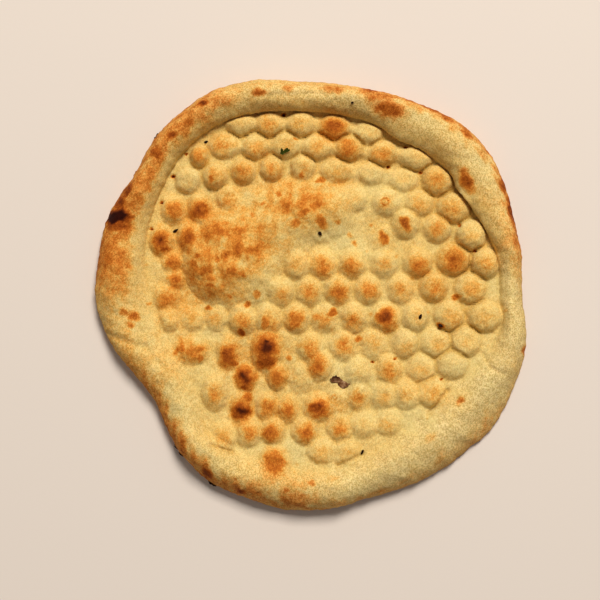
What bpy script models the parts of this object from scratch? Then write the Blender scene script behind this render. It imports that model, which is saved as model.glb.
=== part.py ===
"""A round naan: a thick rolled rim round a floor of finger-dimpled knobs and one big bubble.

Seen from above, +X is to the right and +Y is up the view. The bread lies on z = 0 with the
origin under its middle. Shapes are worked out in millimetres and scaled to metres once, where
a mesh is made.
"""

import math

import bmesh
import bpy
import numpy as np
from mathutils import Matrix, Vector
from mathutils.bvhtree import BVHTree

MM = 0.001  # one millimetre in metres

# The rim in plan: (degrees counterclockwise from +X, radius in mm).
EDGE = (
    (0, 113.4), (14, 114.2), (21, 116.4), (27, 118.8), (38, 121.2), (52, 121.2), (63, 117.2),
    (76, 113.9), (92, 115.0), (104, 118.6), (114, 121.4), (123, 120.6), (135, 118.2),
    (146, 114.4), (158, 116.9), (170, 115.6), (182, 115.2), (192, 110.6), (203, 103.0),
    (213, 100.6), (220, 103.6), (230, 108.6), (240, 112.8), (256, 113.8), (267, 115.2),
    (280, 112.6), (292, 113.2), (303, 115.2), (314, 116.8), (324, 119.4), (336, 119.2),
    (347, 117.6), (354, 114.8),
)
FOOT = (
    (0, 99.6), (12, 100.6), (26, 99.6), (40, 98.8), (55, 97.4), (70, 97.4), (85, 98.2),
    (98, 100.0), (110, 103.0), (122, 104.3), (134, 102.0), (147, 97.4), (160, 93.4),
    (174, 88.5), (188, 82.5), (202, 77.5), (213, 76.8), (222, 80.5), (231, 89.0), (240, 90.0),
    (252, 88.6), (266, 90.0), (282, 91.0), (296, 86.5), (308, 86.2), (322, 88.2), (334, 92.5),
    (344, 98.6), (352, 100.8),
)

# The rim's section round the bread: (degrees, value), heights and overhang in mm.
CREST_HEIGHT = (
    (0, 15.0), (20, 17.5), (45, 19.5), (90, 19.0), (130, 19.0), (165, 18.0), (205, 16.5),
    (245, 17.0), (285, 17.5), (325, 17.0), (345, 15.5),
)
CREST_PLACE = (
    (0, 0.40), (22, 0.46), (42, 0.42), (58, 0.68), (72, 0.64), (88, 0.54), (150, 0.56),
    (180, 0.60), (215, 0.48), (245, 0.46), (280, 0.42), (320, 0.40), (345, 0.42),
)
WALL_STEEPNESS = (
    (0, 0.25), (12, 0.60), (20, 0.95), (50, 1.0), (110, 1.0), (150, 0.80), (180, 0.45),
    (210, 0.15), (230, 0.30), (255, 0.05), (290, 0.10), (345, 0.05),
)
LIP_OVERHANG = (
    (0, 0.4), (12, 0.4), (19, 1.6), (27, 3.0), (36, 4.4), (42, 0.9), (52, 0.6), (59, 3.4),
    (64, 3.2), (69, 0.6), (90, 1.0), (110, 0.8), (140, 0.4), (200, 0.0), (340, 0.0),
)
EQUATOR_SHARE = (  # height of the widest ring over the crest's height
    (0, 0.26), (30, 0.34), (90, 0.38), (200, 0.38), (235, 0.30), (265, 0.16), (320, 0.13),
)
ROLL_POWER = (  # of the rim's profile from crest to widest ring: 1 is an ellipse's
    (0, 1.4), (60, 1.3), (180, 1.4), (250, 1.35), (285, 1.25), (318, 1.8), (345, 1.6),
)
UNDERCUT = 1.05  # how far the resting edge lies inside the widest ring, over its height

# The floor inside the rim.
FLOOR_THICKNESS = 7.0
FLOOR_LIFT = 3.0  # how much thicker it is at the foot of a gentle rim,
LIFT_REACH = 24.0  # and how far inside the foot that begins
KNOB_HEIGHT = 5.2
CRISP_SIZE = (9.0, 8.8)  # half width and half height of a knob in the view from above,
SOFT_SIZE = (6.4, 7.2)
WIDE_SIZE = (8.9, 7.5)  # in the rows along the top,
TALL_SIZE = (5.9, 7.7)
SMALL_SIZE = (4.9, 5.3)
KNOB_JITTER = 0.5  # how far a knob strays from its row's even spacing
KNOB_VARIETY = 0.08  # how much heights and sizes differ
KNOB_SEED = 5
ROW_BLEND = 0.8  # per mm: how sharply the knobs of a row part from each other
CRISP_BLEND = 2.4  # per mm: deep narrow creases between rows,
SOFT_BLEND = 0.9  # per mm: or shallow valleys
CRISP_POWER = 3.8  # of a crisp knob's profile: a full dome with steep sides
BELL_SHARPNESS = 0.9  # of a soft knob's profile, which fades out into the floor
BELL_POWER = 3.2
BELL_HEIGHT = 0.84  # over a crisp knob's
BEAD_POWER = 1.8  # of a joined knob's outline: 2 is an ellipse, less is pointed at its ends
NECK_HALF_WIDTH = 4.6  # of the dough that joins a row's knobs
LEAST_CRISP = 0.15
CRISP_TOP = (36, 36, 0.9)  # start, run and gain of the rise up the view,
CRISP_RIGHT = (40, 44, 0.85)  # and of the rise to the right
FOOT_CREASE = 2.0  # how far from a steep wall the knobs start to sink,
FOOT_SINK = 0.7  # and how far down they go, over their height
SLOPE_REACH = 13.0  # how far knobs climb a gentle rim

# The big bubble: (x, y, half length, half width, height) of each lobe.
BUBBLE_LOBES = (
    (-42, 20, 28, 28, 10.2),
    (-24, 36, 28, 22, 6.5),
    (-2, 46, 27, 19, 7.5),
)
BUBBLE_SMOOTHING = 0.6
BUBBLE_EDGE = 0.95  # power of a lobe's profile: how gently it meets the floor
BUBBLE_SHOULDER = 0.55  # share of a lobe over which the knobs fade out
KNOBS_ON_BUBBLE = 0.3  # share of a knob's height that still shows on the bubble

# Folds pressed into the surface: (start, end, half width, depth).
FOLDS = (
    ((-107, -21), (-88, -27), 2.0, 1.3),
    ((-88, -27), (-80, -37), 1.8, 0.9),
    ((-53, -79), (-42, -83), 1.1, 2.2),
    ((62, -63), (72, -50), 1.1, 2.0),
    ((14, -90), (27, -84), 1.3, 1.4),
    ((-28, 105.5), (10, 107), 1.6, 0.7),
    ((91, -30), (95, -38), 1.1, 1.0),
    ((95, -38), (101, -41), 1.1, 0.8),
)

# Unevenness of hand-rolled dough: (wavelength, height, seed).
RIM_UNEVENNESS = ((42.0, 1.0, 11), (17.0, 0.25, 12))
FLOOR_UNEVENNESS = ((34.0, 0.7, 21), (13.0, 0.2, 22))
UNEVEN_FADE = 8.0  # how far inside the rim's foot the floor's unevenness ends
WAVES = 14
WAVE_SPREAD = (0.75, 1.3)  # range of the waves' lengths over the mean
WAVE_LEVEL = 0.7

# Seeds: (x, y, turn in degrees, length, width).
SEEDS = (
    (-56.4, 82.5, 20, 2.3, 1.6),
    (-72.4, 35.1, 28, 3.9, 1.7),
    (4.3, 33.5, -50, 3.0, 2.1),
    (57.5, -10.6, 68, 3.0, 1.8),
    (68.7, -15.4, -20, 2.7, 1.8),
    (21.3, 101.7, 10, 1.7, 1.3),
    (26.6, -82.5, 96, 3.3, 1.6),
)
SEED_SINK = 0.2  # how deep a seed sits, over its width
SEED_SIDES = 6
SEED_BANDS = 4

# Other toppings: (x, y, turn in degrees, length).
LEAF = (-14.4, 77.4, 25, 5.0)
LEAF_LOBES = 5
LEAF_WIDTH = 3.6
LEAF_THICKNESS = 0.8
LEAF_NOTCH = 0.5  # depth of the notches between its lobes, over its reach
LEAF_WAVE = (0.2, 3)  # (height, count round the leaf) of its edge's waves
SCRAP = (14.8, -45.4, -35, 9.6)  # torn flake of baked skin
SCRAP_CORNERS = 8
SCRAP_WIDTH = 4.4
SCRAP_THICKNESS = 1.2
SCRAP_CURL = 0.5
SCRAP_SLANT = 0.25

CRUST_COLOUR = (0.72, 0.50, 0.22)
CRUST_ROUGHNESS = 0.75

# Mesh density.
FLOOR_RINGS = 32  # rings of 6, 12, 18 ... corners out to the rim's foot
WALL_STEPS = 4
ROLL_STEPS = 4
TUCK_STEPS = 3
OUTLINE_CORNERS = 3600  # of the outline that the bread's middle is worked out from
BASE_RINGS = (74, 48, 24)  # mean radius of the flat underside's rings, each of half the corners


def around(points, angle):
    """Smooth closed curve through (degrees, value) points, read at angles in radians."""
    degrees, values = np.array(points, float).T
    degrees = np.concatenate((degrees[-2:] - 360, degrees, degrees[:2] + 360))
    values = np.concatenate((values[-2:], values, values[:2]))
    angle = np.degrees(angle) % 360
    i = np.clip(np.searchsorted(degrees, angle, side="right") - 1, 1, len(degrees) - 3)
    gap = degrees[i + 1] - degrees[i]
    slope_in = (values[i + 1] - values[i - 1]) / (degrees[i + 1] - degrees[i - 1])
    slope_out = (values[i + 2] - values[i]) / (degrees[i + 2] - degrees[i])
    t = (angle - degrees[i]) / gap
    return (
        (2 * t**3 - 3 * t**2 + 1) * values[i]
        + (t**3 - 2 * t**2 + t) * gap * slope_in
        + (3 * t**2 - 2 * t**3) * values[i + 1]
        + (t**3 - t**2) * gap * slope_out
    )


def ease(t):
    """0 below 0, 1 above 1 and a smooth step between."""
    t = np.clip(t, 0, 1)
    return t * t * (3 - 2 * t)


def ripple(x, y, wavelength, seed):
    """Smooth random unevenness of about unit height: waves of one length, any direction."""
    draw = np.random.default_rng(seed)
    total = np.zeros_like(x)
    for _ in range(WAVES):
        heading, phase = draw.uniform(0, 2 * math.pi, 2)
        stretch = draw.uniform(*WAVE_SPREAD) * 2 * math.pi / wavelength
        total += np.cos(stretch * (x * math.cos(heading) + y * math.sin(heading)) + phase)
    return total * math.sqrt(2 / WAVES) * WAVE_LEVEL


def unevenness(x, y, layers):
    return sum(height * ripple(x, y, wavelength, seed) for wavelength, height, seed in layers)


def crispness(x, y):
    """1 where knobs are pressed deep, along the top and the right edge, down to 0 lower left."""
    total = LEAST_CRISP
    for place, (start, run, gain) in ((y, CRISP_TOP), (x, CRISP_RIGHT)):
        total = total + gain * ease((place - start) / run)
    return np.minimum(total, 1)


def row(start, end, count, bow=0.0, growth=1.0, height=1.0, size=None, neck=0.0):
    """(knobs, neck): knobs from start to end as (x, y, half width, half height, height).

    The row's middle bows by bow, and each gap is growth times the last. neck is how high the
    dough between its knobs stands, over their height.
    """
    gaps = growth ** np.arange(max(count - 1, 1))
    share = np.concatenate(([0.0], np.cumsum(gaps) / gaps.sum()))[:count]
    run = np.subtract(end, start).astype(float)
    side = np.array((-run[1], run[0])) / max(math.hypot(*run), 1.0)
    knobs = []
    for t in share:
        x, y = start + t * run + 4 * bow * t * (1 - t) * side
        crisp = float(crispness(x, y))
        half_width, half_height = size or [
            soft + (full - soft) * crisp for soft, full in zip(SOFT_SIZE, CRISP_SIZE)
        ]
        knobs.append((x, y, half_width, half_height, height))
    return knobs, neck


def knob(x, y, size=None, height=1.0):
    return row((x, y), (x, y), 1, size=size, height=height)


# Knobs row by row, from the top of the view down.
KNOB_ROWS = (
    row((-38.5, 92), (30.5, 87.5), 5, bow=1.5, growth=1.05, size=WIDE_SIZE, neck=0.45),
    knob(-60, 75, size=(5.6, 6.4)),
    row((-46.5, 80), (56, 73.5), 7, bow=3, growth=1.03, size=WIDE_SIZE, neck=0.45),
    row((-66, 61.5), (-5, 69), 5, bow=1.5, growth=1.03, size=(6.8, 7.2)),
    row((13, 67), (49, 62), 3, bow=1, height=0.7, size=(8.6, 6.8), neck=0.4),
    row((67, 61.5), (92, 18), 4, bow=1, height=1.1),
    row((-74, 46), (-60, 47), 2, size=(6.5, 7.6)),
    knob(-45, 53, size=(7.0, 6.4), height=0.8),
    row((22, 53), (57.5, 50), 3, bow=-1, height=0.8, size=(7.8, 7.4)),
    row((-80, 29.5), (-66, 33), 2, size=TALL_SIZE),
    knob(38, 31, size=(7.0, 7.0), height=0.55),
    row((50, 38.5), (67, 36), 2, size=(7.4, 7.8)),
    row((-74.5, 18.5), (-73, 8.5), 2, size=SMALL_SIZE, height=0.65),
    row((-8, 17), (76, 19), 6, bow=-0.5, growth=1.08),
    knob(-77, 0, size=(7.0, 7.0), height=0.8),
    row((-16, 2.5), (85, 5), 7, growth=1.06),
    row((-76, -12.5), (-50.5, -12), 3, growth=1.04, height=0.7, size=(5.4, 6.2)),
    row((-37, -12), (92, -10.5), 9, growth=1.04),
    knob(-63, -29, size=(8.4, 6.6), height=0.8),
    knob(-45, -30, size=(5.8, 8.4)),
    knob(-24, -28.5, size=(7.2, 10.6), height=1.25),
    row((-0.5, -27), (82, -24), 6, growth=0.99, height=0.88),
    row((-35.5, -43.5), (-19, -43), 2, size=(5.4, 6.6)),
    knob(-6, -43, height=0.5),
    knob(4.5, -36, size=(6.0, 8.0)),
    row((25, -40), (75, -36.5), 4, bow=-0.5, height=0.85),
    knob(-51.5, -50.5, size=(6.0, 9.4), height=0.9),
    knob(-37.5, -58.5, size=(5.0, 8.0)),
    row((-24, -59), (-13, -59.5), 2, size=(5.6, 7.0)),
    knob(3.5, -59.5, size=(7.6, 7.4), height=1.15),
    knob(14.5, -57, height=0.5),
    row((25, -53.5), (64, -50.5), 4, bow=-0.5, height=0.88),
    row((-46, -74), (-34, -72.5), 2, size=(6.6, 7.4), height=0.9),
    row((-20.5, -71), (-4, -72), 2, size=(6.6, 6.6)),
    row((15, -70), (41, -66), 3, size=(6.8, 6.8), height=0.8),
    knob(-20, -88.5, size=(7.6, 8.4), height=0.9),
    row((5, -82), (19, -83), 2, size=(7.4, 6.4), height=0.8),
)

# Low swellings on top of the bubble.
BUBBLE_ROWS = (
    knob(-59.5, 17, size=(7.6, 9.2), height=0.75),
    knob(-50, 34.5, size=(6.4, 6.4), height=0.42),
    row((-42, 13), (-54, 5), 2, size=(7.0, 5.6), height=0.42),
    knob(-34, 24, size=(5.0, 5.6), height=0.2),
    knob(-24.5, 37, size=(8.6, 8.2), height=0.28),
    row((-29, 53), (-17.5, 55), 2, size=(6.6, 6.0), height=0.25),
    row((-4, 46), (10, 48), 2, size=(8.0, 7.0), height=0.22),
)


def knob_relief(x, y, crispness, rows=KNOB_ROWS):
    """Height of the knobs above the floor: beads joined along a row, with creases between rows."""
    between_rows = SOFT_BLEND + (CRISP_BLEND - SOFT_BLEND) * crispness
    draw = np.random.default_rng(KNOB_SEED)
    total = np.ones_like(x)
    for knobs, neck in rows:
        beads = np.ones_like(x)
        last = None
        for knob_x, knob_y, half_width, half_height, height in knobs:
            knob_x, knob_y = (knob_x, knob_y) + draw.uniform(-KNOB_JITTER, KNOB_JITTER, 2)
            tall, wide = 1 + draw.uniform(-KNOB_VARIETY, KNOB_VARIETY, 2)
            aside = abs(x - knob_x) / (half_width * wide)
            reach = superellipse(aside, abs(y - knob_y) / half_height, neck)
            crisp_dome = 1 - reach**CRISP_POWER
            bell = BELL_HEIGHT * np.exp(-BELL_SHARPNESS * reach**BELL_POWER)
            dome = tall * height * KNOB_HEIGHT * (bell + (crisp_dome - bell) * crispness)
            beads += np.exp(ROW_BLEND * dome) - np.exp(ROW_BLEND * np.minimum(dome, 0))
            if neck and last:
                apart = line_distance(x, y, last, (knob_x, knob_y)) / NECK_HALF_WIDTH
                ridge = neck * height * KNOB_HEIGHT * np.clip(1 - apart**2, 0, 1)
                beads += np.exp(ROW_BLEND * ridge) - 1
            last = (knob_x, knob_y)
        bead_height = np.log(beads) / ROW_BLEND
        total += np.exp(between_rows * bead_height) - 1
    return np.log(total) / between_rows


def superellipse(aside, above, neck):
    """Distance from a knob's middle over its size: knobs joined by a neck are lens-shaped."""
    power = BEAD_POWER if neck else 2
    return (aside**power + above**power) ** (1 / power)


def line_distance(x, y, start, end):
    """Distance of x, y from the line between two points."""
    run = np.subtract(end, start).astype(float)
    along = ((x - start[0]) * run[0] + (y - start[1]) * run[1]) / (run @ run)
    along = np.clip(along, 0, 1)
    return np.hypot(x - start[0] - along * run[0], y - start[1] - along * run[1])


def bubble_relief(x, y):
    """(height of the big bubble, how fully it covers the floor)."""
    total = np.ones_like(x)
    cover = np.zeros_like(x)
    for lobe_x, lobe_y, half_length, half_width, height in BUBBLE_LOBES:
        apart = ((x - lobe_x) / half_length) ** 2 + ((y - lobe_y) / half_width) ** 2
        dome = height * np.clip(1 - apart, 0, 1) ** BUBBLE_EDGE
        total += np.exp(BUBBLE_SMOOTHING * dome) - 1
        cover = np.maximum(cover, ease((1 - apart) / BUBBLE_SHOULDER))
    return np.log(total) / BUBBLE_SMOOTHING, cover


def fold_relief(x, y):
    """Depth of the pressed folds, zero or less."""
    total = np.zeros_like(x)
    for start, end, half_width, depth in FOLDS:
        total -= depth * np.exp(-((line_distance(x, y, start, end) / half_width) ** 2))
    return total


def knob_weight(inset, steepness):
    """Share of the knobs' height at a distance inside the rim's foot, negative on the rim."""
    inside = 1 - FOOT_SINK * steepness * (1 - ease(inset / FOOT_CREASE))
    climbing = (1 - FOOT_SINK * steepness) * (1 - ease(-inset / SLOPE_REACH))
    return np.where(inset >= 0, inside, climbing)


def bed_height(x, y):
    """Top of the floor without its knobs: it thickens towards a gentle rim."""
    angle = np.arctan2(y, x)
    inset = around(FOOT, angle) - np.hypot(x, y)
    gentle = 1 - around(WALL_STEEPNESS, angle)
    return FLOOR_THICKNESS + FLOOR_LIFT * gentle * (1 - ease(inset / LIFT_REACH))


def floor_height(x, y):
    """Top of the bread inside the rim's foot."""
    angle = np.arctan2(y, x)
    inset = around(FOOT, angle) - np.hypot(x, y)
    bubble, cover = bubble_relief(x, y)
    knobs = knob_relief(x, y, crispness(x, y))
    knobs = knobs * knob_weight(inset, around(WALL_STEEPNESS, angle))
    knobs = knobs * (1 - (1 - KNOBS_ON_BUBBLE) * cover)
    knobs = knobs + knob_relief(x, y, np.zeros_like(x), BUBBLE_ROWS)
    near_foot = ease(inset / UNEVEN_FADE)
    uneven = unevenness(x, y, FLOOR_UNEVENNESS) * near_foot
    return bed_height(x, y) + knobs + bubble + uneven + fold_relief(x, y)


def rim_ring(angle, step):
    """One ring of the rim as x, y, z: step 0 is its foot, 1 its crest, 2 its widest, 3 its base."""
    foot = around(FOOT, angle)
    edge = around(EDGE, angle)
    crest = around(CREST_HEIGHT, angle)
    place = around(CREST_PLACE, angle)
    steep = around(WALL_STEEPNESS, angle)
    equator = around(EQUATOR_SHARE, angle) * crest
    width = edge - foot
    turn = math.pi / 2 * (step % 1 if step < 3 else 1)
    if step < 1:
        foot_x, foot_y = foot * np.cos(angle), foot * np.sin(angle)
        base = floor_height(foot_x, foot_y)
        rise = steep * math.sin(turn) + (1 - steep) * (1 - math.cos(2 * turn)) / 2
        reach = place * (steep * (1 - math.cos(turn)) + (1 - steep) * step)
        lip = around(LIP_OVERHANG, angle) * np.sin(math.pi * rise)
        radius = foot + width * reach - lip
        height = base + (crest - base) * rise
    elif step < 2:
        radius = foot + width * (place + (1 - place) * math.sin(turn))
        height = equator + (crest - equator) * math.cos(turn) ** around(ROLL_POWER, angle)
    else:
        radius = edge - UNDERCUT * equator * (1 - math.cos(turn))
        height = equator * (1 - math.sin(turn))
    x, y = radius * np.cos(angle), radius * np.sin(angle)
    if step < 1:
        climb = knob_weight(foot - radius, steep) * (1 - rise)
        foot_knobs = base - bed_height(foot_x, foot_y)
        height = height + climb * (knob_relief(x, y, crispness(x, y)) - foot_knobs)
    bulge = unevenness(x, y, RIM_UNEVENNESS) * ease(min(step, 3 - step))
    lean = (radius - foot - width * place) / width
    x = x + bulge * lean * np.cos(angle)
    y = y + bulge * lean * np.sin(angle)
    height = height + bulge * (step < 2) + fold_relief(x, y) * (step < 2)
    return np.column_stack((x, y, height))


def ring_angles(corners):
    return np.arange(corners) * 2 * math.pi / corners


def middle():
    """Middle of the outline's box, which the finished mesh is centred on."""
    angle = ring_angles(OUTLINE_CORNERS)
    edge = around(EDGE, angle)
    x, y = edge * np.cos(angle), edge * np.sin(angle)
    return np.array(((x.min() + x.max()) / 2, (y.min() + y.max()) / 2, 0.0))


def floor_rings(rings):
    """Corners of the floor: one in the middle, then rings of 6, 12, 18 ... corners."""
    points = [np.zeros((1, 2))]
    for ring in range(1, rings + 1):
        angle = ring_angles(6 * ring)
        radius = around(FOOT, angle) * ring / rings
        points.append(np.column_stack((radius * np.cos(angle), radius * np.sin(angle))))
    flat = np.concatenate(points)
    return np.column_stack((flat, floor_height(flat[:, 0], flat[:, 1])))


def floor_faces(rings):
    """Triangles between the floor's rings, six equal wedges of each."""
    faces = []
    for ring in range(1, rings + 1):
        outer = 1 + 3 * ring * (ring - 1)
        inner = 1 + 3 * (ring - 1) * (ring - 2)
        for wedge in range(6):
            for i in range(ring):
                a = outer + wedge * ring + i
                b = outer + (wedge * ring + i + 1) % (6 * ring)
                c = inner + (wedge * (ring - 1) + i) % (6 * ring - 6) if ring > 1 else 0
                faces.append((c, a, b))
                if i < ring - 1:
                    d = inner + (wedge * (ring - 1) + i + 1) % (6 * ring - 6)
                    faces.append((c, b, d))
    return faces


def band_faces(last, count, following):
    """Quads between two rings of count corners, given their first indices."""
    return [
        (last + i, following + i, following + (i + 1) % count, last + (i + 1) % count)
        for i in range(count)
    ]


def halving_faces(last, count, following):
    """Triangles from a ring of count corners to the next ring, which has half as many."""
    faces = []
    half = count // 2
    for i in range(half):
        a, b, c = last + 2 * i, last + 2 * i + 1, last + (2 * i + 2) % count
        d, e = following + i, following + (i + 1) % half
        faces += [(a, d, b), (b, d, e), (b, e, c)]
    return faces


def bread_mesh():
    """The whole bread as one closed skin: floor, rim, tucked edge and flat underside."""
    corners = 6 * FLOOR_RINGS
    angle = ring_angles(corners)
    points = [floor_rings(FLOOR_RINGS)]
    faces = floor_faces(FLOOR_RINGS)
    total = len(points[0])
    last = total - corners
    steps = (
        [i / WALL_STEPS for i in range(1, WALL_STEPS)]
        + [1 + i / ROLL_STEPS for i in range(ROLL_STEPS)]
        + [2 + i / TUCK_STEPS for i in range(TUCK_STEPS + 1)]
    )
    for step in steps:
        points.append(rim_ring(angle, step))
        faces += band_faces(last, corners, total)
        last, total = total, total + corners
    base = points[-1]
    for radius in BASE_RINGS:
        base = base[::2]
        points.append(base * radius / np.hypot(base[:, 0], base[:, 1]).mean())
        faces += halving_faces(last, corners, total)
        corners //= 2
        last, total = total, total + corners
    points.append(np.zeros((1, 3)))
    faces += [(last + i, total, last + (i + 1) % corners) for i in range(corners)]
    return (np.concatenate(points) - middle()) * MM, faces


def add_object(name, mesh, material):
    mesh.materials.append(material)
    mesh.shade_smooth()
    thing = bpy.data.objects.new(name, mesh)
    bpy.context.scene.collection.objects.link(thing)
    return thing


def make_material(name, colour, roughness):
    """colour is linear red, green and blue."""
    material = bpy.data.materials.new(name)
    material.use_nodes = True
    shader = material.node_tree.nodes["Principled BSDF"]
    shader.inputs["Base Color"].default_value = (*colour, 1.0)
    shader.inputs["Roughness"].default_value = roughness
    shader.inputs["Metallic"].default_value = 0.0
    return material


def make_bread(material):
    points, faces = bread_mesh()
    mesh = bpy.data.meshes.new("naan")
    mesh.from_pydata(points.tolist(), [], faces)
    shape = bmesh.new()
    shape.from_mesh(mesh)
    bmesh.ops.triangulate(shape, faces=shape.faces, quad_method="SHORT_EDGE")
    shape.to_mesh(mesh)
    shape.free()
    return add_object("naan", mesh, material)


def seat(surface, place, sink):
    """Frame on the bread at (x, y, turn): Z out of the surface, X turned, origin sunk in it."""
    x, y, turn = place
    middle_x, middle_y, _ = middle()
    above = Vector(((x - middle_x) * MM, (y - middle_y) * MM, 1.0))
    spot, normal = surface.ray_cast(above, Vector((0, 0, -1)))[:2]
    along = Vector((math.cos(math.radians(turn)), math.sin(math.radians(turn)), 0))
    along = (along - normal * along.dot(normal)).normalized()
    frame = Matrix((along, normal.cross(along), normal)).transposed().to_4x4()
    frame.translation = spot - normal * sink * MM
    return frame


def seed_shape(frame, length, width):
    """A small plump ellipsoid."""
    shape = bmesh.new()
    size = Matrix.Diagonal((length * MM, width * MM, width * MM, 1))
    bmesh.ops.create_uvsphere(
        shape, u_segments=SEED_SIDES, v_segments=SEED_BANDS, radius=0.5, matrix=frame @ size
    )
    return shape


def slab_shape(frame, outline, thickness):
    """A thin slab over a star-shaped outline of (x, y, lift) corners round its middle."""
    shape = bmesh.new()
    levels = []
    for level in (-thickness / 2, thickness / 2):
        hub = shape.verts.new((0, 0, level * MM))
        ring = [shape.verts.new((x * MM, y * MM, (level + lift) * MM)) for x, y, lift in outline]
        levels.append((hub, ring))
    (low_hub, low), (high_hub, high) = levels
    for i in range(len(outline)):
        j = (i + 1) % len(outline)
        shape.faces.new((low_hub, low[j], low[i]))
        shape.faces.new((high_hub, high[i], high[j]))
        shape.faces.new((low[i], low[j], high[j], high[i]))
    shape.transform(frame)
    return shape


def leaf_outline(length):
    """Pointed lobes with notches between them."""
    corners = []
    for i in range(2 * LEAF_LOBES):
        angle = math.pi * i / LEAF_LOBES
        reach = 1.0 if i % 2 == 0 else LEAF_NOTCH
        x = reach * length / 2 * math.cos(angle)
        y = reach * LEAF_WIDTH / 2 * math.sin(angle)
        corners.append((x, y, LEAF_WAVE[0] * math.sin(LEAF_WAVE[1] * angle)))
    return corners


def scrap_outline(length):
    """A slanted blunt oblong whose two ends curl up."""
    corners = []
    for i in range(SCRAP_CORNERS):
        angle = 2 * math.pi * (i + 0.5) / SCRAP_CORNERS
        across = SCRAP_WIDTH / 2 * math.sin(angle)
        along = length / 2 * math.cos(angle) + SCRAP_SLANT * across
        corners.append((along, across, SCRAP_CURL * math.cos(angle) ** 2))
    return corners


def topping_shapes(surface):
    shapes = []
    for x, y, turn, length, width in SEEDS:
        frame = seat(surface, (x, y, turn), SEED_SINK * width)
        shapes.append(seed_shape(frame, length, width))
    leaf_seat = seat(surface, LEAF[:3], 0.0)
    shapes.append(slab_shape(leaf_seat, leaf_outline(LEAF[3]), LEAF_THICKNESS))
    scrap_seat = seat(surface, SCRAP[:3], 0.0)
    shapes.append(slab_shape(scrap_seat, scrap_outline(SCRAP[3]), SCRAP_THICKNESS))
    return shapes


def fuse_toppings(bread):
    """Joins the seeds, the leaf and the flake to the bread as one solid."""
    shape = bmesh.new()
    shape.from_mesh(bread.data)
    surface = BVHTree.FromBMesh(shape)
    shape.free()
    toppings = bpy.data.collections.new("toppings")
    bpy.context.scene.collection.children.link(toppings)
    for piece in topping_shapes(surface):
        mesh = bpy.data.meshes.new("topping")
        piece.to_mesh(mesh)
        piece.free()
        toppings.objects.link(bpy.data.objects.new("topping", mesh))
    union = bread.modifiers.new("toppings", "BOOLEAN")
    union.operation = "UNION"
    union.operand_type = "COLLECTION"
    union.collection = toppings
    union.solver = "EXACT"
    fused = bread.evaluated_get(bpy.context.evaluated_depsgraph_get())
    mesh = bpy.data.meshes.new_from_object(fused)
    bread.modifiers.remove(union)
    bread.data = mesh
    for piece in list(toppings.objects):
        bpy.data.objects.remove(piece, do_unlink=True)
    bpy.data.collections.remove(toppings)


def clear_scene():
    for thing in list(bpy.data.objects):
        bpy.data.objects.remove(thing, do_unlink=True)


def main():
    clear_scene()
    crust = make_material("crust", CRUST_COLOUR, CRUST_ROUGHNESS)
    bread = make_bread(crust)
    fuse_toppings(bread)


main()
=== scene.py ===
"""Looks of the naan: a fine skin of dough over the frame's form, toasted knobs, seeds and herb.

Seen from above, +X is to the right and +Y is up the view. The bread lies on z = 0 with the
origin under its middle. Shapes are worked out in millimetres and scaled to metres once, where
a mesh is made.
"""

import math
from collections import namedtuple
from math import cos, pi, sin

import bmesh
import bpy
import numpy as np
from mathutils import Matrix, Vector
from mathutils.bvhtree import BVHTree


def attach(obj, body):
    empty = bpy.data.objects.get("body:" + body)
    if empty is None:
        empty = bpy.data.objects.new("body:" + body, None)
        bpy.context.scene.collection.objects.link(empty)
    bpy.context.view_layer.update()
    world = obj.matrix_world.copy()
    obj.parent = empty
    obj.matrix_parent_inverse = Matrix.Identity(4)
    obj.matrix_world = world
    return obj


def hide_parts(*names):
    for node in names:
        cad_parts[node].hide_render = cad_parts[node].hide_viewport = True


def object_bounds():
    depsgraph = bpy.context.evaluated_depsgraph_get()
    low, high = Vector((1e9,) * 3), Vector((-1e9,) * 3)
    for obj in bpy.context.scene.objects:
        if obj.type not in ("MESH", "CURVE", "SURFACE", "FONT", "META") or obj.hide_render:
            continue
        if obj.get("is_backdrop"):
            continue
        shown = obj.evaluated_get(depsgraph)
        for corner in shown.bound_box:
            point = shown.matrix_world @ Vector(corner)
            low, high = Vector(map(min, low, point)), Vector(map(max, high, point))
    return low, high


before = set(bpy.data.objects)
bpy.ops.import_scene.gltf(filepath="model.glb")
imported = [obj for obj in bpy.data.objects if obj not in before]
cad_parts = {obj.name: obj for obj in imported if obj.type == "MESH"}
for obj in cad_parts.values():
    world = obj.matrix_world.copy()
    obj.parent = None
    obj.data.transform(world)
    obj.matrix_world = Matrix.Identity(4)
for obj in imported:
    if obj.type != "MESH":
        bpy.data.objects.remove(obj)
cad_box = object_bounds()


MM = 0.001  # one millimetre in metres

# The rim in plan: (degrees counterclockwise from +X, radius in mm).
EDGE = (
    (0, 113.4), (14, 114.2), (21, 116.4), (27, 118.8), (38, 121.2), (52, 121.2), (63, 117.2),
    (76, 113.9), (92, 115.0), (104, 118.6), (114, 121.4), (123, 120.6), (135, 118.2),
    (146, 114.4), (158, 116.9), (170, 115.6), (182, 115.2), (192, 110.6), (203, 103.0),
    (213, 100.6), (220, 103.6), (230, 108.6), (240, 112.8), (256, 113.8), (267, 115.2),
    (280, 112.6), (292, 113.2), (303, 115.2), (314, 116.8), (324, 119.4), (336, 119.2),
    (347, 117.6), (354, 114.8),
)
FOOT = (
    (0, 99.6), (12, 100.6), (26, 99.6), (40, 98.8), (55, 97.4), (70, 97.4), (85, 98.2),
    (98, 100.0), (110, 103.0), (122, 104.3), (134, 102.0), (147, 97.4), (160, 93.4),
    (174, 88.5), (188, 82.5), (202, 77.5), (213, 76.8), (222, 80.5), (231, 89.0), (240, 90.0),
    (252, 88.6), (266, 90.0), (282, 91.0), (296, 86.5), (308, 86.2), (322, 88.2), (334, 92.5),
    (344, 98.6), (352, 100.8),
)

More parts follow.
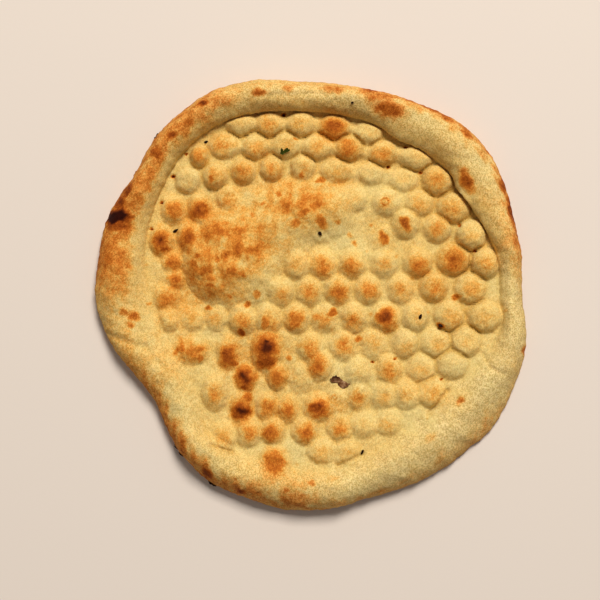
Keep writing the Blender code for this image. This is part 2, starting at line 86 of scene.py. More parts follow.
# The rim's section round the bread: (degrees, value), heights and overhang in mm.
CREST_HEIGHT = (
    (0, 15.0), (20, 17.5), (45, 19.5), (90, 19.0), (130, 19.0), (165, 18.0), (205, 16.5),
    (245, 17.0), (285, 17.5), (325, 17.0), (345, 15.5),
)
CREST_PLACE = (
    (0, 0.40), (22, 0.46), (42, 0.42), (58, 0.68), (72, 0.64), (88, 0.54), (150, 0.56),
    (180, 0.60), (215, 0.48), (245, 0.46), (280, 0.42), (320, 0.40), (345, 0.42),
)
WALL_STEEPNESS = (
    (0, 0.25), (12, 0.60), (20, 0.95), (50, 1.0), (110, 1.0), (150, 0.80), (180, 0.45),
    (210, 0.15), (230, 0.30), (255, 0.05), (290, 0.10), (345, 0.05),
)
LIP_OVERHANG = (
    (0, 0.4), (12, 0.4), (19, 1.6), (27, 3.0), (36, 4.4), (42, 0.9), (52, 0.6), (59, 3.4),
    (64, 3.2), (69, 0.6), (90, 1.0), (110, 0.8), (140, 0.4), (200, 0.0), (340, 0.0),
)
EQUATOR_SHARE = (  # height of the widest ring over the crest's height
    (0, 0.26), (30, 0.34), (90, 0.38), (200, 0.38), (235, 0.30), (265, 0.16), (320, 0.13),
)
ROLL_POWER = (  # of the rim's profile from crest to widest ring: 1 is an ellipse's
    (0, 1.4), (60, 1.3), (180, 1.4), (250, 1.35), (285, 1.25), (318, 1.8), (345, 1.6),
)
UNDERCUT = 1.05  # how far the resting edge lies inside the widest ring, over its height

# The floor inside the rim.
FLOOR_THICKNESS = 7.0
FLOOR_LIFT = 3.0  # how much thicker it is at the foot of a gentle rim,
LIFT_REACH = 24.0  # and how far inside the foot that begins
KNOB_HEIGHT = 5.2
CRISP_SIZE = (9.0, 8.8)  # half width and half height of a knob in the view from above,
SOFT_SIZE = (6.4, 7.2)
WIDE_SIZE = (8.9, 7.5)  # in the rows along the top,
TALL_SIZE = (5.9, 7.7)
SMALL_SIZE = (4.9, 5.3)
KNOB_JITTER = 0.5  # how far a knob strays from its row's even spacing
KNOB_VARIETY = 0.08  # how much heights and sizes differ
KNOB_SEED = 5
ROW_BLEND = 0.8  # per mm: how sharply the knobs of a row part from each other
CRISP_BLEND = 2.4  # per mm: deep narrow creases between rows,
SOFT_BLEND = 0.9  # per mm: or shallow valleys
CRISP_POWER = 3.8  # of a crisp knob's profile: a full dome with steep sides
BELL_SHARPNESS = 0.9  # of a soft knob's profile, which fades out into the floor
BELL_POWER = 3.2
BELL_HEIGHT = 0.84  # over a crisp knob's
BEAD_POWER = 1.8  # of a joined knob's outline: 2 is an ellipse, less is pointed at its ends
NECK_HALF_WIDTH = 4.6  # of the dough that joins a row's knobs
LEAST_CRISP = 0.15
CRISP_TOP = (36, 36, 0.9)  # start, run and gain of the rise up the view,
CRISP_RIGHT = (40, 44, 0.85)  # and of the rise to the right
FOOT_CREASE = 2.0  # how far from a steep wall the knobs start to sink,
FOOT_SINK = 0.7  # and how far down they go, over their height
SLOPE_REACH = 13.0  # how far knobs climb a gentle rim

# The big bubble: (x, y, half length, half width, height) of each lobe.
BUBBLE_LOBES = (
    (-42, 20, 28, 28, 10.2),
    (-24, 36, 28, 22, 6.5),
    (-2, 46, 27, 19, 7.5),
)
BUBBLE_SMOOTHING = 0.6
BUBBLE_EDGE = 0.95  # power of a lobe's profile: how gently it meets the floor
BUBBLE_SHOULDER = 0.55  # share of a lobe over which the knobs fade out
KNOBS_ON_BUBBLE = 0.3  # share of a knob's height that still shows on the bubble

# Folds pressed into the surface: (start, end, half width, depth).
FOLDS = (
    ((-107, -21), (-88, -27), 2.0, 1.3),
    ((-88, -27), (-80, -37), 1.8, 0.9),
    ((-53, -79), (-42, -83), 1.1, 2.2),
    ((62, -63), (72, -50), 1.1, 2.0),
    ((14, -90), (27, -84), 1.3, 1.4),
    ((-28, 105.5), (10, 107), 1.6, 0.7),
    ((91, -30), (95, -38), 1.1, 1.0),
    ((95, -38), (101, -41), 1.1, 0.8),
)

# Unevenness of hand-rolled dough: (wavelength, height, seed).
RIM_UNEVENNESS = ((42.0, 1.0, 11), (17.0, 0.25, 12))
FLOOR_UNEVENNESS = ((34.0, 0.7, 21), (13.0, 0.2, 22))
UNEVEN_FADE = 8.0  # how far inside the rim's foot the floor's unevenness ends
ROLL_FADE = 0.5  # share of the rim's outer side over which its top's unevenness ends
WAVES = 14
WAVE_SPREAD = (0.75, 1.3)  # range of the waves' lengths over the mean
WAVE_LEVEL = 0.7

OUTLINE_CORNERS = 3600  # of the outline that the bread's middle is worked out from


def around(points, angle):
    """Smooth closed curve through (degrees, value) points, read at angles in radians."""
    degrees, values = np.array(points, float).T
    degrees = np.concatenate((degrees[-2:] - 360, degrees, degrees[:2] + 360))
    values = np.concatenate((values[-2:], values, values[:2]))
    angle = np.degrees(angle) % 360
    slopes = (values[2:] - values[:-2]) / (degrees[2:] - degrees[:-2])
    i = np.clip(np.searchsorted(degrees, angle, side="right") - 1, 1, len(degrees) - 3)
    gap = degrees[i + 1] - degrees[i]
    t = (angle - degrees[i]) / gap
    return (
        (2 * t**3 - 3 * t**2 + 1) * values[i]
        + (t**3 - 2 * t**2 + t) * gap * slopes[i - 1]
        + (3 * t**2 - 2 * t**3) * values[i + 1]
        + (t**3 - t**2) * gap * slopes[i]
    )


def at_place(points, x, y):
    """Value of a closed curve in the direction of x, y."""
    return around(points, np.arctan2(y, x))


def polar(radius, angle):
    return radius * np.cos(angle), radius * np.sin(angle)


def ease(t):
    """0 below 0, 1 above 1 and a smooth step between."""
    t = np.clip(t, 0, 1)
    return t * t * (3 - 2 * t)


def ripple(x, y, wavelength, seed):
    """Smooth random unevenness of about unit height: waves of one length, any direction."""
    draw = np.random.default_rng(seed)
    total = np.zeros_like(x)
    for _ in range(WAVES):
        heading, phase = draw.uniform(0, 2 * pi, 2)
        stretch = draw.uniform(*WAVE_SPREAD) * 2 * pi / wavelength
        total += np.cos(stretch * (x * cos(heading) + y * sin(heading)) + phase)
    return total * math.sqrt(2 / WAVES) * WAVE_LEVEL


def unevenness(x, y, layers):
    return sum(height * ripple(x, y, wavelength, seed) for wavelength, height, seed in layers)


def crispness(x, y):
    """1 where knobs are pressed deep, along the top and the right edge, down to 0 lower left."""
    total = LEAST_CRISP
    for place, (start, run, gain) in ((y, CRISP_TOP), (x, CRISP_RIGHT)):
        total = total + gain * ease((place - start) / run)
    return np.minimum(total, 1)


def row(start, end, count, bow=0.0, growth=1.0, height=1.0, size=None, neck=0.0):
    """(knobs, neck): knobs from start to end as (x, y, half width, half height, height).

    The row's middle bows by bow, and each gap is growth times the last. neck is how high the
    dough between its knobs stands, over their height.
    """
    gaps = growth ** np.arange(max(count - 1, 1))
    share = np.concatenate(([0.0], np.cumsum(gaps) / gaps.sum()))[:count]
    run = np.subtract(end, start).astype(float)
    side = np.array((-run[1], run[0])) / max(math.hypot(*run), 1.0)
    knobs = []
    for t in share:
        x, y = start + t * run + 4 * bow * t * (1 - t) * side
        crisp = float(crispness(x, y))
        half_width, half_height = size or [
            soft + (full - soft) * crisp for soft, full in zip(SOFT_SIZE, CRISP_SIZE)
        ]
        knobs.append((x, y, half_width, half_height, height))
    return knobs, neck


def knob(x, y, size=None, height=1.0):
    return row((x, y), (x, y), 1, size=size, height=height)


# Knobs row by row, from the top of the view down.
KNOB_ROWS = (
    row((-38.5, 92), (30.5, 87.5), 5, bow=1.5, growth=1.05, size=WIDE_SIZE, neck=0.45),
    knob(-60, 75, size=(5.6, 6.4)),
    row((-46.5, 80), (56, 73.5), 7, bow=3, growth=1.03, size=WIDE_SIZE, neck=0.45),
    row((-66, 61.5), (-5, 69), 5, bow=1.5, growth=1.03, size=(6.8, 7.2)),
    row((13, 67), (49, 62), 3, bow=1, height=0.7, size=(8.6, 6.8), neck=0.4),
    row((67, 61.5), (92, 18), 4, bow=1, height=1.1),
    row((-74, 46), (-60, 47), 2, size=(6.5, 7.6)),
    knob(-45, 53, size=(7.0, 6.4), height=0.8),
    row((22, 53), (57.5, 50), 3, bow=-1, height=0.8, size=(7.8, 7.4)),
    row((-80, 29.5), (-66, 33), 2, size=TALL_SIZE),
    knob(38, 31, size=(7.0, 7.0), height=0.55),
    row((50, 38.5), (67, 36), 2, size=(7.4, 7.8)),
    row((-74.5, 18.5), (-73, 8.5), 2, size=SMALL_SIZE, height=0.65),
    row((-8, 17), (76, 19), 6, bow=-0.5, growth=1.08),
    knob(-77, 0, size=(7.0, 7.0), height=0.8),
    row((-16, 2.5), (85, 5), 7, growth=1.06),
    row((-76, -12.5), (-50.5, -12), 3, growth=1.04, height=0.7, size=(5.4, 6.2)),
    row((-37, -12), (92, -10.5), 9, growth=1.04),
    knob(-63, -29, size=(8.4, 6.6), height=0.8),
    knob(-45, -30, size=(5.8, 8.4)),
    knob(-24, -28.5, size=(7.2, 10.6), height=1.25),
    row((-0.5, -27), (82, -24), 6, growth=0.99, height=0.88),
    row((-35.5, -43.5), (-19, -43), 2, size=(5.4, 6.6)),
    knob(-6, -43, height=0.5),
    knob(4.5, -36, size=(6.0, 8.0)),
    row((25, -40), (75, -36.5), 4, bow=-0.5, height=0.85),
    knob(-51.5, -50.5, size=(6.0, 9.4), height=0.9),
    knob(-37.5, -58.5, size=(5.0, 8.0)),
    row((-24, -59), (-13, -59.5), 2, size=(5.6, 7.0)),
    knob(3.5, -59.5, size=(7.6, 7.4), height=1.15),
    knob(14.5, -57, height=0.5),
    row((25, -53.5), (64, -50.5), 4, bow=-0.5, height=0.88),
    row((-46, -74), (-34, -72.5), 2, size=(6.6, 7.4), height=0.9),
    row((-20.5, -71), (-4, -72), 2, size=(6.6, 6.6)),
    row((15, -70), (41, -66), 3, size=(6.8, 6.8), height=0.8),
    knob(-20, -88.5, size=(7.6, 8.4), height=0.9),
    row((5, -82), (19, -83), 2, size=(7.4, 6.4), height=0.8),
)

# Low swellings on top of the bubble.
BUBBLE_ROWS = (
    knob(-59.5, 17, size=(7.6, 9.2), height=0.75),
    knob(-50, 34.5, size=(6.4, 6.4), height=0.42),
    row((-42, 13), (-54, 5), 2, size=(7.0, 5.6), height=0.42),
    knob(-34, 24, size=(5.0, 5.6), height=0.2),
    knob(-24.5, 37, size=(8.6, 8.2), height=0.28),
    row((-29, 53), (-17.5, 55), 2, size=(6.6, 6.0), height=0.25),
    row((-4, 46), (10, 48), 2, size=(8.0, 7.0), height=0.22),
)


Knob = namedtuple("Knob", "x y half_width half_height height wide tall")


def jittered(rows):
    """The rows again, with each knob a little moved and resized, in the same way every time."""
    draw = np.random.default_rng(KNOB_SEED)
    for knobs, neck in rows:
        moved = []
        for x, y, *size in knobs:
            x, y = (x, y) + draw.uniform(-KNOB_JITTER, KNOB_JITTER, 2)
            tall, wide = 1 + draw.uniform(-KNOB_VARIETY, KNOB_VARIETY, 2)
            moved.append(Knob(x, y, *size, wide, tall))
        yield moved, neck


def knob_reach(x, y, bead, neck):
    """Distance from a knob's middle over its size: knobs joined by a neck are lens-shaped."""
    power = BEAD_POWER if neck else 2
    aside = abs(x - bead.x) / (bead.half_width * bead.wide)
    above = abs(y - bead.y) / bead.half_height
    return (aside**power + above**power) ** (1 / power)


def knob_relief(x, y, crispness, rows=KNOB_ROWS):
    """Height of the knobs above the floor: beads joined along a row, with creases between rows."""
    between_rows = SOFT_BLEND + (CRISP_BLEND - SOFT_BLEND) * crispness
    total = np.ones_like(x)
    for knobs, neck in jittered(rows):
        beads = np.ones_like(x)
        last = None
        for bead in knobs:
            reach = knob_reach(x, y, bead, neck)
            crisp_dome = 1 - reach**CRISP_POWER
            bell = BELL_HEIGHT * np.exp(-BELL_SHARPNESS * reach**BELL_POWER)
            profile = bell + (crisp_dome - bell) * crispness
            dome = bead.tall * bead.height * KNOB_HEIGHT * profile
            beads += np.exp(ROW_BLEND * dome) - np.exp(ROW_BLEND * np.minimum(dome, 0))
            if neck and last:
                apart = line_distance(x, y, last[:2], bead[:2]) / NECK_HALF_WIDTH
                ridge = neck * bead.height * KNOB_HEIGHT * np.clip(1 - apart**2, 0, 1)
                beads += np.exp(ROW_BLEND * ridge) - 1
            last = bead
        bead_height = np.log(beads) / ROW_BLEND
        total += np.exp(between_rows * bead_height) - 1
    return np.log(total) / between_rows


def line_distance(x, y, start, end):
    """Distance of x, y from the line between two points."""
    run = np.subtract(end, start).astype(float)
    along = ((x - start[0]) * run[0] + (y - start[1]) * run[1]) / (run @ run)
    along = np.clip(along, 0, 1)
    return np.hypot(x - start[0] - along * run[0], y - start[1] - along * run[1])


def bubble_relief(x, y):
    """(height of the big bubble, how fully it covers the floor)."""
    total = np.ones_like(x)
    cover = np.zeros_like(x)
    for lobe_x, lobe_y, half_length, half_width, height in BUBBLE_LOBES:
        apart = ((x - lobe_x) / half_length) ** 2 + ((y - lobe_y) / half_width) ** 2
        dome = height * np.clip(1 - apart, 0, 1) ** BUBBLE_EDGE
        total += np.exp(BUBBLE_SMOOTHING * dome) - 1
        cover = np.maximum(cover, ease((1 - apart) / BUBBLE_SHOULDER))
    return np.log(total) / BUBBLE_SMOOTHING, cover


def fold_relief(x, y):
    """Depth of the pressed folds, zero or less."""
    total = np.zeros_like(x)
    for start, end, half_width, depth in FOLDS:
        total -= depth * np.exp(-((line_distance(x, y, start, end) / half_width) ** 2))
    return total


def knob_weight(inset, steepness):
    """Share of the knobs' height at a distance inside the rim's foot, negative on the rim."""
    inside = 1 - FOOT_SINK * steepness * (1 - ease(inset / FOOT_CREASE))
    climbing = (1 - FOOT_SINK * steepness) * (1 - ease(-inset / SLOPE_REACH))
    return np.where(inset >= 0, inside, climbing)


def bed_height(x, y):
    """Top of the floor without its knobs: it thickens towards a gentle rim."""
    inset = at_place(FOOT, x, y) - np.hypot(x, y)
    gentle = 1 - at_place(WALL_STEEPNESS, x, y)
    return FLOOR_THICKNESS + FLOOR_LIFT * gentle * (1 - ease(inset / LIFT_REACH))


def floor_height(x, y):
    """Top of the bread inside the rim's foot."""
    inset = at_place(FOOT, x, y) - np.hypot(x, y)
    bubble, cover = bubble_relief(x, y)
    knobs = knob_relief(x, y, crispness(x, y))
    knobs = knobs * knob_weight(inset, at_place(WALL_STEEPNESS, x, y))
    knobs = knobs * (1 - (1 - KNOBS_ON_BUBBLE) * cover)
    knobs = knobs + knob_relief(x, y, np.zeros_like(x), BUBBLE_ROWS)
    uneven = unevenness(x, y, FLOOR_UNEVENNESS) * ease(inset / UNEVEN_FADE)
    return bed_height(x, y) + knobs + bubble + uneven + fold_relief(x, y)


def rim_ring(angle, step):
    """One ring of the rim as x, y, z: step 0 is its foot, 1 its crest, 2 its widest, 3 its base."""
    foot = around(FOOT, angle)
    edge = around(EDGE, angle)
    crest = around(CREST_HEIGHT, angle)
    place = around(CREST_PLACE, angle)
    steep = around(WALL_STEEPNESS, angle)
    equator = around(EQUATOR_SHARE, angle) * crest
    width = edge - foot
    turn = pi / 2 * (step % 1 if step < 3 else 1)
    if step < 1:
        foot_x, foot_y = polar(foot, angle)
        base = floor_height(foot_x, foot_y)
        rise = steep * sin(turn) + (1 - steep) * (1 - cos(2 * turn)) / 2
        reach = place * (steep * (1 - cos(turn)) + (1 - steep) * step)
        lip = around(LIP_OVERHANG, angle) * np.sin(pi * rise)
        radius = foot + width * reach - lip
        height = base + (crest - base) * rise
    elif step < 2:
        radius = foot + width * (place + (1 - place) * sin(turn))
        height = equator + (crest - equator) * cos(turn) ** around(ROLL_POWER, angle)
    else:
        radius = edge - UNDERCUT * equator * (1 - cos(turn))
        height = equator * (1 - sin(turn))
    x, y = polar(radius, angle)
    if step < 1:
        climb = knob_weight(foot - radius, steep) * (1 - rise)
        foot_knobs = base - bed_height(foot_x, foot_y)
        height = height + climb * (knob_relief(x, y, crispness(x, y)) - foot_knobs)
    bulge = unevenness(x, y, RIM_UNEVENNESS) * ease(min(step, 3 - step))
    lean = (radius - foot - width * place) / width
    x = x + bulge * lean * np.cos(angle)
    y = y + bulge * lean * np.sin(angle)
    height = height + (bulge + fold_relief(x, y)) * ease((2 - step) / ROLL_FADE)
    return np.column_stack((x, y, height))


def ring_angles(corners):
    return np.arange(corners) * 2 * pi / corners


def middle():
    """Middle of the outline's box, which the finished mesh is centred on."""
    angle = ring_angles(OUTLINE_CORNERS)
    x, y = polar(around(EDGE, angle), angle)
    return np.array(((x.min() + x.max()) / 2, (y.min() + y.max()) / 2, 0.0))


def disc_points(rings, radius):
    """Flat points of a disc: one in the middle, then rings of 6, 12, 18 ... corners.

    radius gives the disc's edge at an angle.
    """
    points = [np.zeros((1, 2))]
    for ring in range(1, rings + 1):
        angle = ring_angles(6 * ring)
        points.append(np.column_stack(polar(radius(angle) * ring / rings, angle)))
    return np.concatenate(points)


def floor_points(rings):
    flat = disc_points(rings, lambda angle: around(FOOT, angle))
    return np.column_stack((flat, floor_height(*flat.T)))


def disc_faces(rings):
    """Triangles between a disc's rings, six equal wedges of each."""
    faces = []
    for ring in range(1, rings + 1):
        outer, inner = 1 + 3 * ring * (ring - 1), 1 + 3 * (ring - 1) * (ring - 2)
        for corner in range(6 * ring):
            wedge, i = divmod(corner, ring)
            a, b = outer + corner, outer + (corner + 1) % (6 * ring)
            c = inner + (wedge * (ring - 1) + i) % (6 * ring - 6) if ring > 1 else 0
            faces.append((c, a, b))
            if i < ring - 1:
                faces.append((c, b, inner + (wedge * (ring - 1) + i + 1) % (6 * ring - 6)))
    return faces


def band_faces(last, count, following):
    """Quads between two rings of count corners, given their first indices."""
    return [
        (last + i, following + i, following + (i + 1) % count, last + (i + 1) % count)
        for i in range(count)
    ]


def halving_faces(last, count, following):
    """Triangles from a ring of count corners to the next ring, which has half as many."""
    faces = []
    half = count // 2
    for i in range(half):
        a, b, c = last + 2 * i, last + 2 * i + 1, last + (2 * i + 2) % count
        d, e = following + i, following + (i + 1) % half
        faces += [(a, d, b), (b, d, e), (b, e, c)]
    return faces


# ---- How brown the crust is: 0 is pale dough, 1 is charred.

# How brown each knob's tip is, in percent, row by row as in KNOB_ROWS.
# Two values are raised as painted shade: the first knob of the top row and the second of the row
# down the right lie in the rim's shade, and their tips are browned to darken them.
TIP_BROWNS = (
    (22, 40, 30, 74, 24), (56,), (44, 40, 30, 36, 56, 46, 16), (22, 42, 48, 40, 33), (8, 5, 20),
    (44, 42, 26, 38), (57, 69), (36,), (22, 32, 40), (78, 57), (12,), (24, 45), (60, 62),
    (30, 57, 54, 37, 58, 70), (49,), (38, 53, 64, 57, 37, 46, 36), (14, 18, 25),
    (48, 45, 57, 42, 45, 74, 30, 35, 22), (42,), (74,), (69,), (50, 48, 26, 28, 28, 20), (87, 63),
    (12,), (69,), (20, 47, 27, 7), (42,), (84,), (58, 59), (72,), (26,), (50, 31, 24, 30),
    (32, 54), (69, 70), (47, 17, 29), (60,), (34, 22),
)
TIP_LOW = 0.9  # how far below a knob's middle its tip browns, in the view from above
TIP_HALO = (0.84, 0.30)  # (reach over the knob's size, share of its brownness)
TIP_CORE = 0.78  # reach of the core, likewise
TIP_CONTRAST = 1.5  # how much more brown tips stand out than pale ones
TIP_GROWTH = (0.7, 0.45)  # size of a pale knob's core, and how much more a brown one's
TIP_STRAY = 0.14  # how far a core strays, over the knob's size
TIP_SEED = 17

# Browned areas: (x, y, half length, half width, turn in degrees, brownness in percent).
ZONES = (
    (-4, 50, 22, 12, -8, 31), (-40, 24, 18, 16, 0, 30), (-30, 36, 36, 24, 25, 22),
    (-52, 8, 17, 10, -20, 26), (-51, 37, 10, 9, 0, 20), (-64, -28, 10, 7, -10, 26),
    (-26, -34, 26, 22, 0, 14), (-66, 20, 18, 30, 0, 20), (-70, -14, 18, 20, 0, 10),
    (-84, -36, 12, 22, 30, 10), (14, 64, 14, 7, 0, 16), (107, 32, 8, 26, 10, 30),
    # the last zone here, at (-41, 0), is painted shade under the bubble's lower edge
    (-16, -102, 32, 9, 0, 20), (48, 25, 14, 8, 0, 8), (-41, 0, 10, 6, 0, 10),
)

# Single marks, as above.
MARKS = (
    (-23.4, -24, 1.6, 1.4, 0, 100), (-24, -34.4, 6.2, 4.6, 20, 78), (-24.8, -14, 2.2, 4.4, 0, 60),
    (-35.6, -47.6, 2.4, 2.2, 0, 74), (68.7, -15.4, 1.9, 1.5, -20, 93),
    (-34.4, -54, 4, 2.8, 20, 66), (-45.4, -31, 3, 4.6, -20, 78), (-42.4, -35.2, 3.4, 2.6, -20, 74),
    (-37.6, -19, 2.2, 2.2, 0, 80), (3, -58.6, 5.8, 3.4, 22, 80), (38.8, -10.6, 5.6, 4.2, 35, 84),
    (-20, -88, 6.6, 7.6, 0, 63), (77, -0.4, 2.4, 1.8, 0, 58), (38.4, 31.2, 2.8, 4.4, 25, 66),
    (49.8, 38.2, 2.8, 4.8, 25, 72), (20.6, 32.4, 1.6, 1.5, 0, 34), (22.6, 28.2, 1.8, 1.8, 0, 44),
    (31.8, 37.8, 1.6, 1.2, 0, 34), (24.8, -22.8, 2.2, 2, 0, 60), (17.2, -25.6, 1.8, 1.8, 0, 56),
    (-12.2, -32.8, 1.8, 1.6, 0, 55), (10.8, -8.8, 3.6, 2, 30, 64), (2.4, -11, 2, 1.6, 0, 44),
    (2.2, 48.4, 4, 2.2, 0, 64), (4.6, 61.6, 3.4, 1.6, 12, 56), (-17.6, 54.4, 1.8, 2, 0, 62),
    (-11.4, 53.6, 1.4, 1.4, 0, 52), (5, 40, 5, 3, -55, 58), (-4, 44.6, 5, 2.6, 30, 58),
    (-8.6, 38.6, 3.8, 3, 0, 54), (13.8, 39.6, 2, 1.4, 0, 44), (-25.8, 49, 1.8, 1.2, 25, 50),
    (-31.2, 43.4, 1.8, 1.4, 0, 44), (-50.8, 36.4, 3.4, 4.4, 0, 56), (-55.4, 35.4, 3, 3, 0, 46),
    (-49.4, 30, 2.6, 3, 0, 46), (-61.8, 16, 2.8, 5, 10, 64), (-56.6, 13.4, 4.6, 2.6, 10, 64),
    (-60, 21.2, 2.6, 1.4, 0, 66), (-50, 19.6, 2, 2.2, 0, 54), (-42.4, 13.2, 3.8, 3, 20, 62),
    (-36.8, 11.4, 3, 2, -20, 60), (-53.6, 6, 3, 1.8, -10, 64), (-43.6, 0.2, 2.2, 1.4, 0, 54),
    (-34.2, -4, 1.8, 1.4, 0, 58), (-34.2, 21, 2.2, 2.4, 0, 44), (-55, -6.2, 2.4, 1.4, 0, 60),
    (-29.4, 1.4, 2, 2.4, 0, 44), (-71, -28.6, 4, 1.6, 35, 56), (-68.6, -27.4, 2.2, 2.8, 0, 64),
    (-62.4, -31, 3.4, 1.8, -30, 56), (-59.4, -32.6, 1.8, 2.4, -20, 56), (-80.4, 30, 2, 2.2, 0, 90),
    (-78.2, 25.6, 3, 1.8, 30, 76), (-66.2, 31.2, 2.4, 1.8, 35, 76), (-60.2, 44.8, 3, 2, 20, 76),
    (-58, 47.8, 2.8, 2.8, 0, 70), (-53.6, 62.4, 1.8, 2, 0, 60), (-5.4, 64.6, 1.8, 1.4, 0, 56),
    (-8.8, 83.8, 1.8, 1.2, 0, 44),
)

# Scorched knobs, as above, which fade out slowly.
SCORCHES = (
    (-24, -27.2, 7.2, 8, 0, 97), (-36.2, -42, 5, 5.6, 0, 97), (-37.3, -60.6, 5.7, 5.7, 0, 100),
)

# Marks on the rim, as above.
RIM_MARKS = (
    (-104.6, 41.6, 5.4, 3.8, 8, 110), (-101.4, 42.6, 5, 3.9, 8, 110),
    (-105, 39.8, 3.6, 2.4, 0, 105), (-97.8, 41.6, 4, 2.8, 0, 80), (-102.6, 37.2, 6.4, 2.8, 0, 66),
    (-101.6, 48.8, 3, 4.4, -25, 72), (40.6, 98.2, 9.6, 4.6, -14, 67), (36, 99.4, 3.4, 2.6, 0, 76),
    (44.4, 96.6, 4, 2.6, 0, 74), (36, 103.4, 9.6, 5.2, -12, 40), (31.4, 108.6, 3.8, 1.9, -8, 62),
    (51, 104.6, 4.4, 1.8, -20, 40), (63, 100.2, 7.4, 2.6, -28, 46),
    (81.6, 86.2, 4.2, 2.2, -50, 50), (72, 93.8, 5.2, 2.2, -40, 42), (81.4, 61, 3.2, 7.2, 24, 68),
    (101.8, 59, 2.6, 4.4, 28, 72), (106.2, 45.4, 3, 9, 14, 78), (113.6, -28.6, 2, 2.8, -10, 62),
    (-27.6, 107, 3.8, 2, 10, 66), (-12.4, 109.4, 3.4, 1.8, 0, 36), (11, 108.6, 6, 2.2, -6, 44),
    (28.6, 108.4, 3, 4, 0, 46), (-57.2, 101.6, 2.8, 1.8, 35, 74), (-73.6, 84.6, 3.4, 2, 45, 64),
    (-82.2, 76, 3.4, 2.8, 45, 55), (-97, 56, 1.8, 4.6, -32, 76), (-94, -10.6, 3.4, 2.4, -30, 60),
    (-99.4, -8.2, 2.4, 2.2, 0, 44), (-95.6, -15, 2.2, 1.8, 0, 50), (-86.8, -3.4, 1.6, 1.2, 0, 46),
    (78.6, -55.4, 3.4, 1.8, 35, 56), (62.6, -74.6, 4, 2.2, 30, 26),
    (-37.6, -103.4, 3.6, 1.8, -10, 66), (-8, -106.6, 9, 5, 0, 46), (0, -98.6, 2.4, 2, 0, 52),
    (-13.6, -102.4, 3.2, 1.6, 30, 56), (11.6, -96, 3, 1.4, 10, 30), (-55.4, -94, 3.6, 3, -40, 62),
)

# Browned rings: (x, y, radius, brownness).
BLISTERS = ((38.9, 50.4, 1.9, 0.62), (12.0, -53.6, 1.2, 0.46))
BLISTER_WIDTH = 0.55
SOFT_EDGE = (1.3, 1.3)  # (steepness, power) of a browned area's edge,
MARK_EDGE = (0.9, 1.9)  # of a mark's,
SCORCH_EDGE = (1.0, 1.0)  # of a scorch's,
CORE_EDGE = (1.2, 1.0)  # and of the middle of a knob's tip

# The rim's browned outer band: (degrees, brownness), and (degrees, how far out it starts).
BAND_BROWN = (
    (0, 0.12), (10, 0.22), (26, 0.32), (40, 0.38), (60, 0.38), (75, 0.3), (88, 0.27), (100, 0.2),
    (110, 0.2), (117, 0.42), (135, 0.4), (152, 0.45), (162, 0.44), (170, 0.54), (182, 0.22),
    (192, 0.18), (203, 0.32), (216, 0.42), (232, 0.46), (244, 0.4), (256, 0.34), (268, 0.3),
    (280, 0.26), (300, 0.24), (325, 0.24), (342, 0.14),
)
BAND_START = (
    (0, 0.86), (40, 0.8), (75, 0.7), (100, 0.6), (117, 0.3), (150, 0.34), (165, 0.36), (180, 0.36),
    (194, 0.6), (210, 0.76), (232, 0.62), (250, 0.7), (275, 0.78), (330, 0.8), (345, 0.9),
)
BAND_EDGE = 0.36  # over the rim's width
BAND_RAGGED = 0.25  # how far mottling moves that edge
WALL_SHADE_BROWN = 0.09  # painted shade and bounce light, as browning on the steep inner side of the rim,
WALL_PLACE = (0.2, 0.3)  # middle and reach of that, over the rim's width
SIDE_STRETCH = 2.0  # how far patterns move on for each mm down the rim's outer side

# Irregular browning: waves as (wavelength, height, seed).
PALE_TOAST = 0.05
PALE_DRIFT = ((36.0, 0.04, 45),)
AREA_WAVES = (8.0, 0.7, 41)  # that bend the outlines of browned areas and tips,
MARK_WAVES = (6.0, 0.45, 46)  # and of marks: across with this seed, up with the next
MOTTLING = ((11.0, 0.7, 43), (6.5, 0.4, 44))
MOTTLED = ((0.5, 1.9), (0.25, 1.6), (0.22, 1.6))  # (share, most) on zones, tips and the band

FLECKS = (31, 120, 114.0, (0.5, 1.3))  # strewn spots: (seed, count, radius they lie in, sizes)
FLECK_BROWNS = (0.10, 0.34)
SPOT_CUT = 3  # sizes from a strewn spot's middle beyond which it is left out

SIDE_BROWN = 0.30  # of the rim's side below its widest ring,
SIDE_CHAR = 0.55  # and how much more in the char's patches
SIDE_DRIFT = ((12.0, 0.08, 56),)
SIDE_PATCHES = (22.0, 0.5, 54)
SIDE_STREAKS = (6.0, 0.35, 55)
SIDE_SLANT = 3  # how far those streaks move on for each mm of height
SIDE_BARE = 0.1
BASE_BROWN = 0.30
BASE_DRIFT = ((30.0, 0.10, 53),)
BASE_CELLS = ((16.0, 1.0, 51), (7.0, 0.6, 52))
BASE_CELL_BROWN = 0.07
BASE_SPOTS = (0.7, 0.9, 0.45)  # height of the waves where spots start, run, brownness


def spot(x, y, mark, edge=SOFT_EDGE):
    """Share of a mark at x, y: 1 in its middle, fading at its edge."""
    mark_x, mark_y, half_length, half_width, turn = mark[:5]
    lean = math.radians(turn)
    along = ((x - mark_x) * cos(lean) + (y - mark_y) * sin(lean)) / half_length
    across = ((y - mark_y) * cos(lean) - (x - mark_x) * sin(lean)) / half_width
    return np.exp(-edge[0] * (along**2 + across**2) ** edge[1])


def brown_spot(x, y, mark, edge=SOFT_EDGE):
    return mark[-1] / 100 * spot(x, y, mark, edge)


def strewn_spots(x, y, spots, peak):
    """Values of small round spots strewn over a disc: peak(draw, size) is the one in a middle."""
    seed, count, reach, sizes = spots
    draw = np.random.default_rng(seed)
    total = np.zeros_like(x)
    for _ in range(count):
        heading, away = draw.uniform(0, 2 * pi), reach * math.sqrt(draw.uniform(0, 1))
        size = draw.uniform(*sizes)
        mark = (away * cos(heading), away * sin(heading), size, size, 0)
        near = np.maximum(abs(x - mark[0]), abs(y - mark[1])) < SPOT_CUT * size
        value = peak(draw, size) * spot(x[near], y[near], mark)
        total[near] = np.maximum(total[near], value)
    return total


def across_rim(x, y):
    """How far out a place lies on the rim: 0 at its foot, 1 at its edge."""
    foot = at_place(FOOT, x, y)
    return (np.hypot(x, y) - foot) / (at_place(EDGE, x, y) - foot)


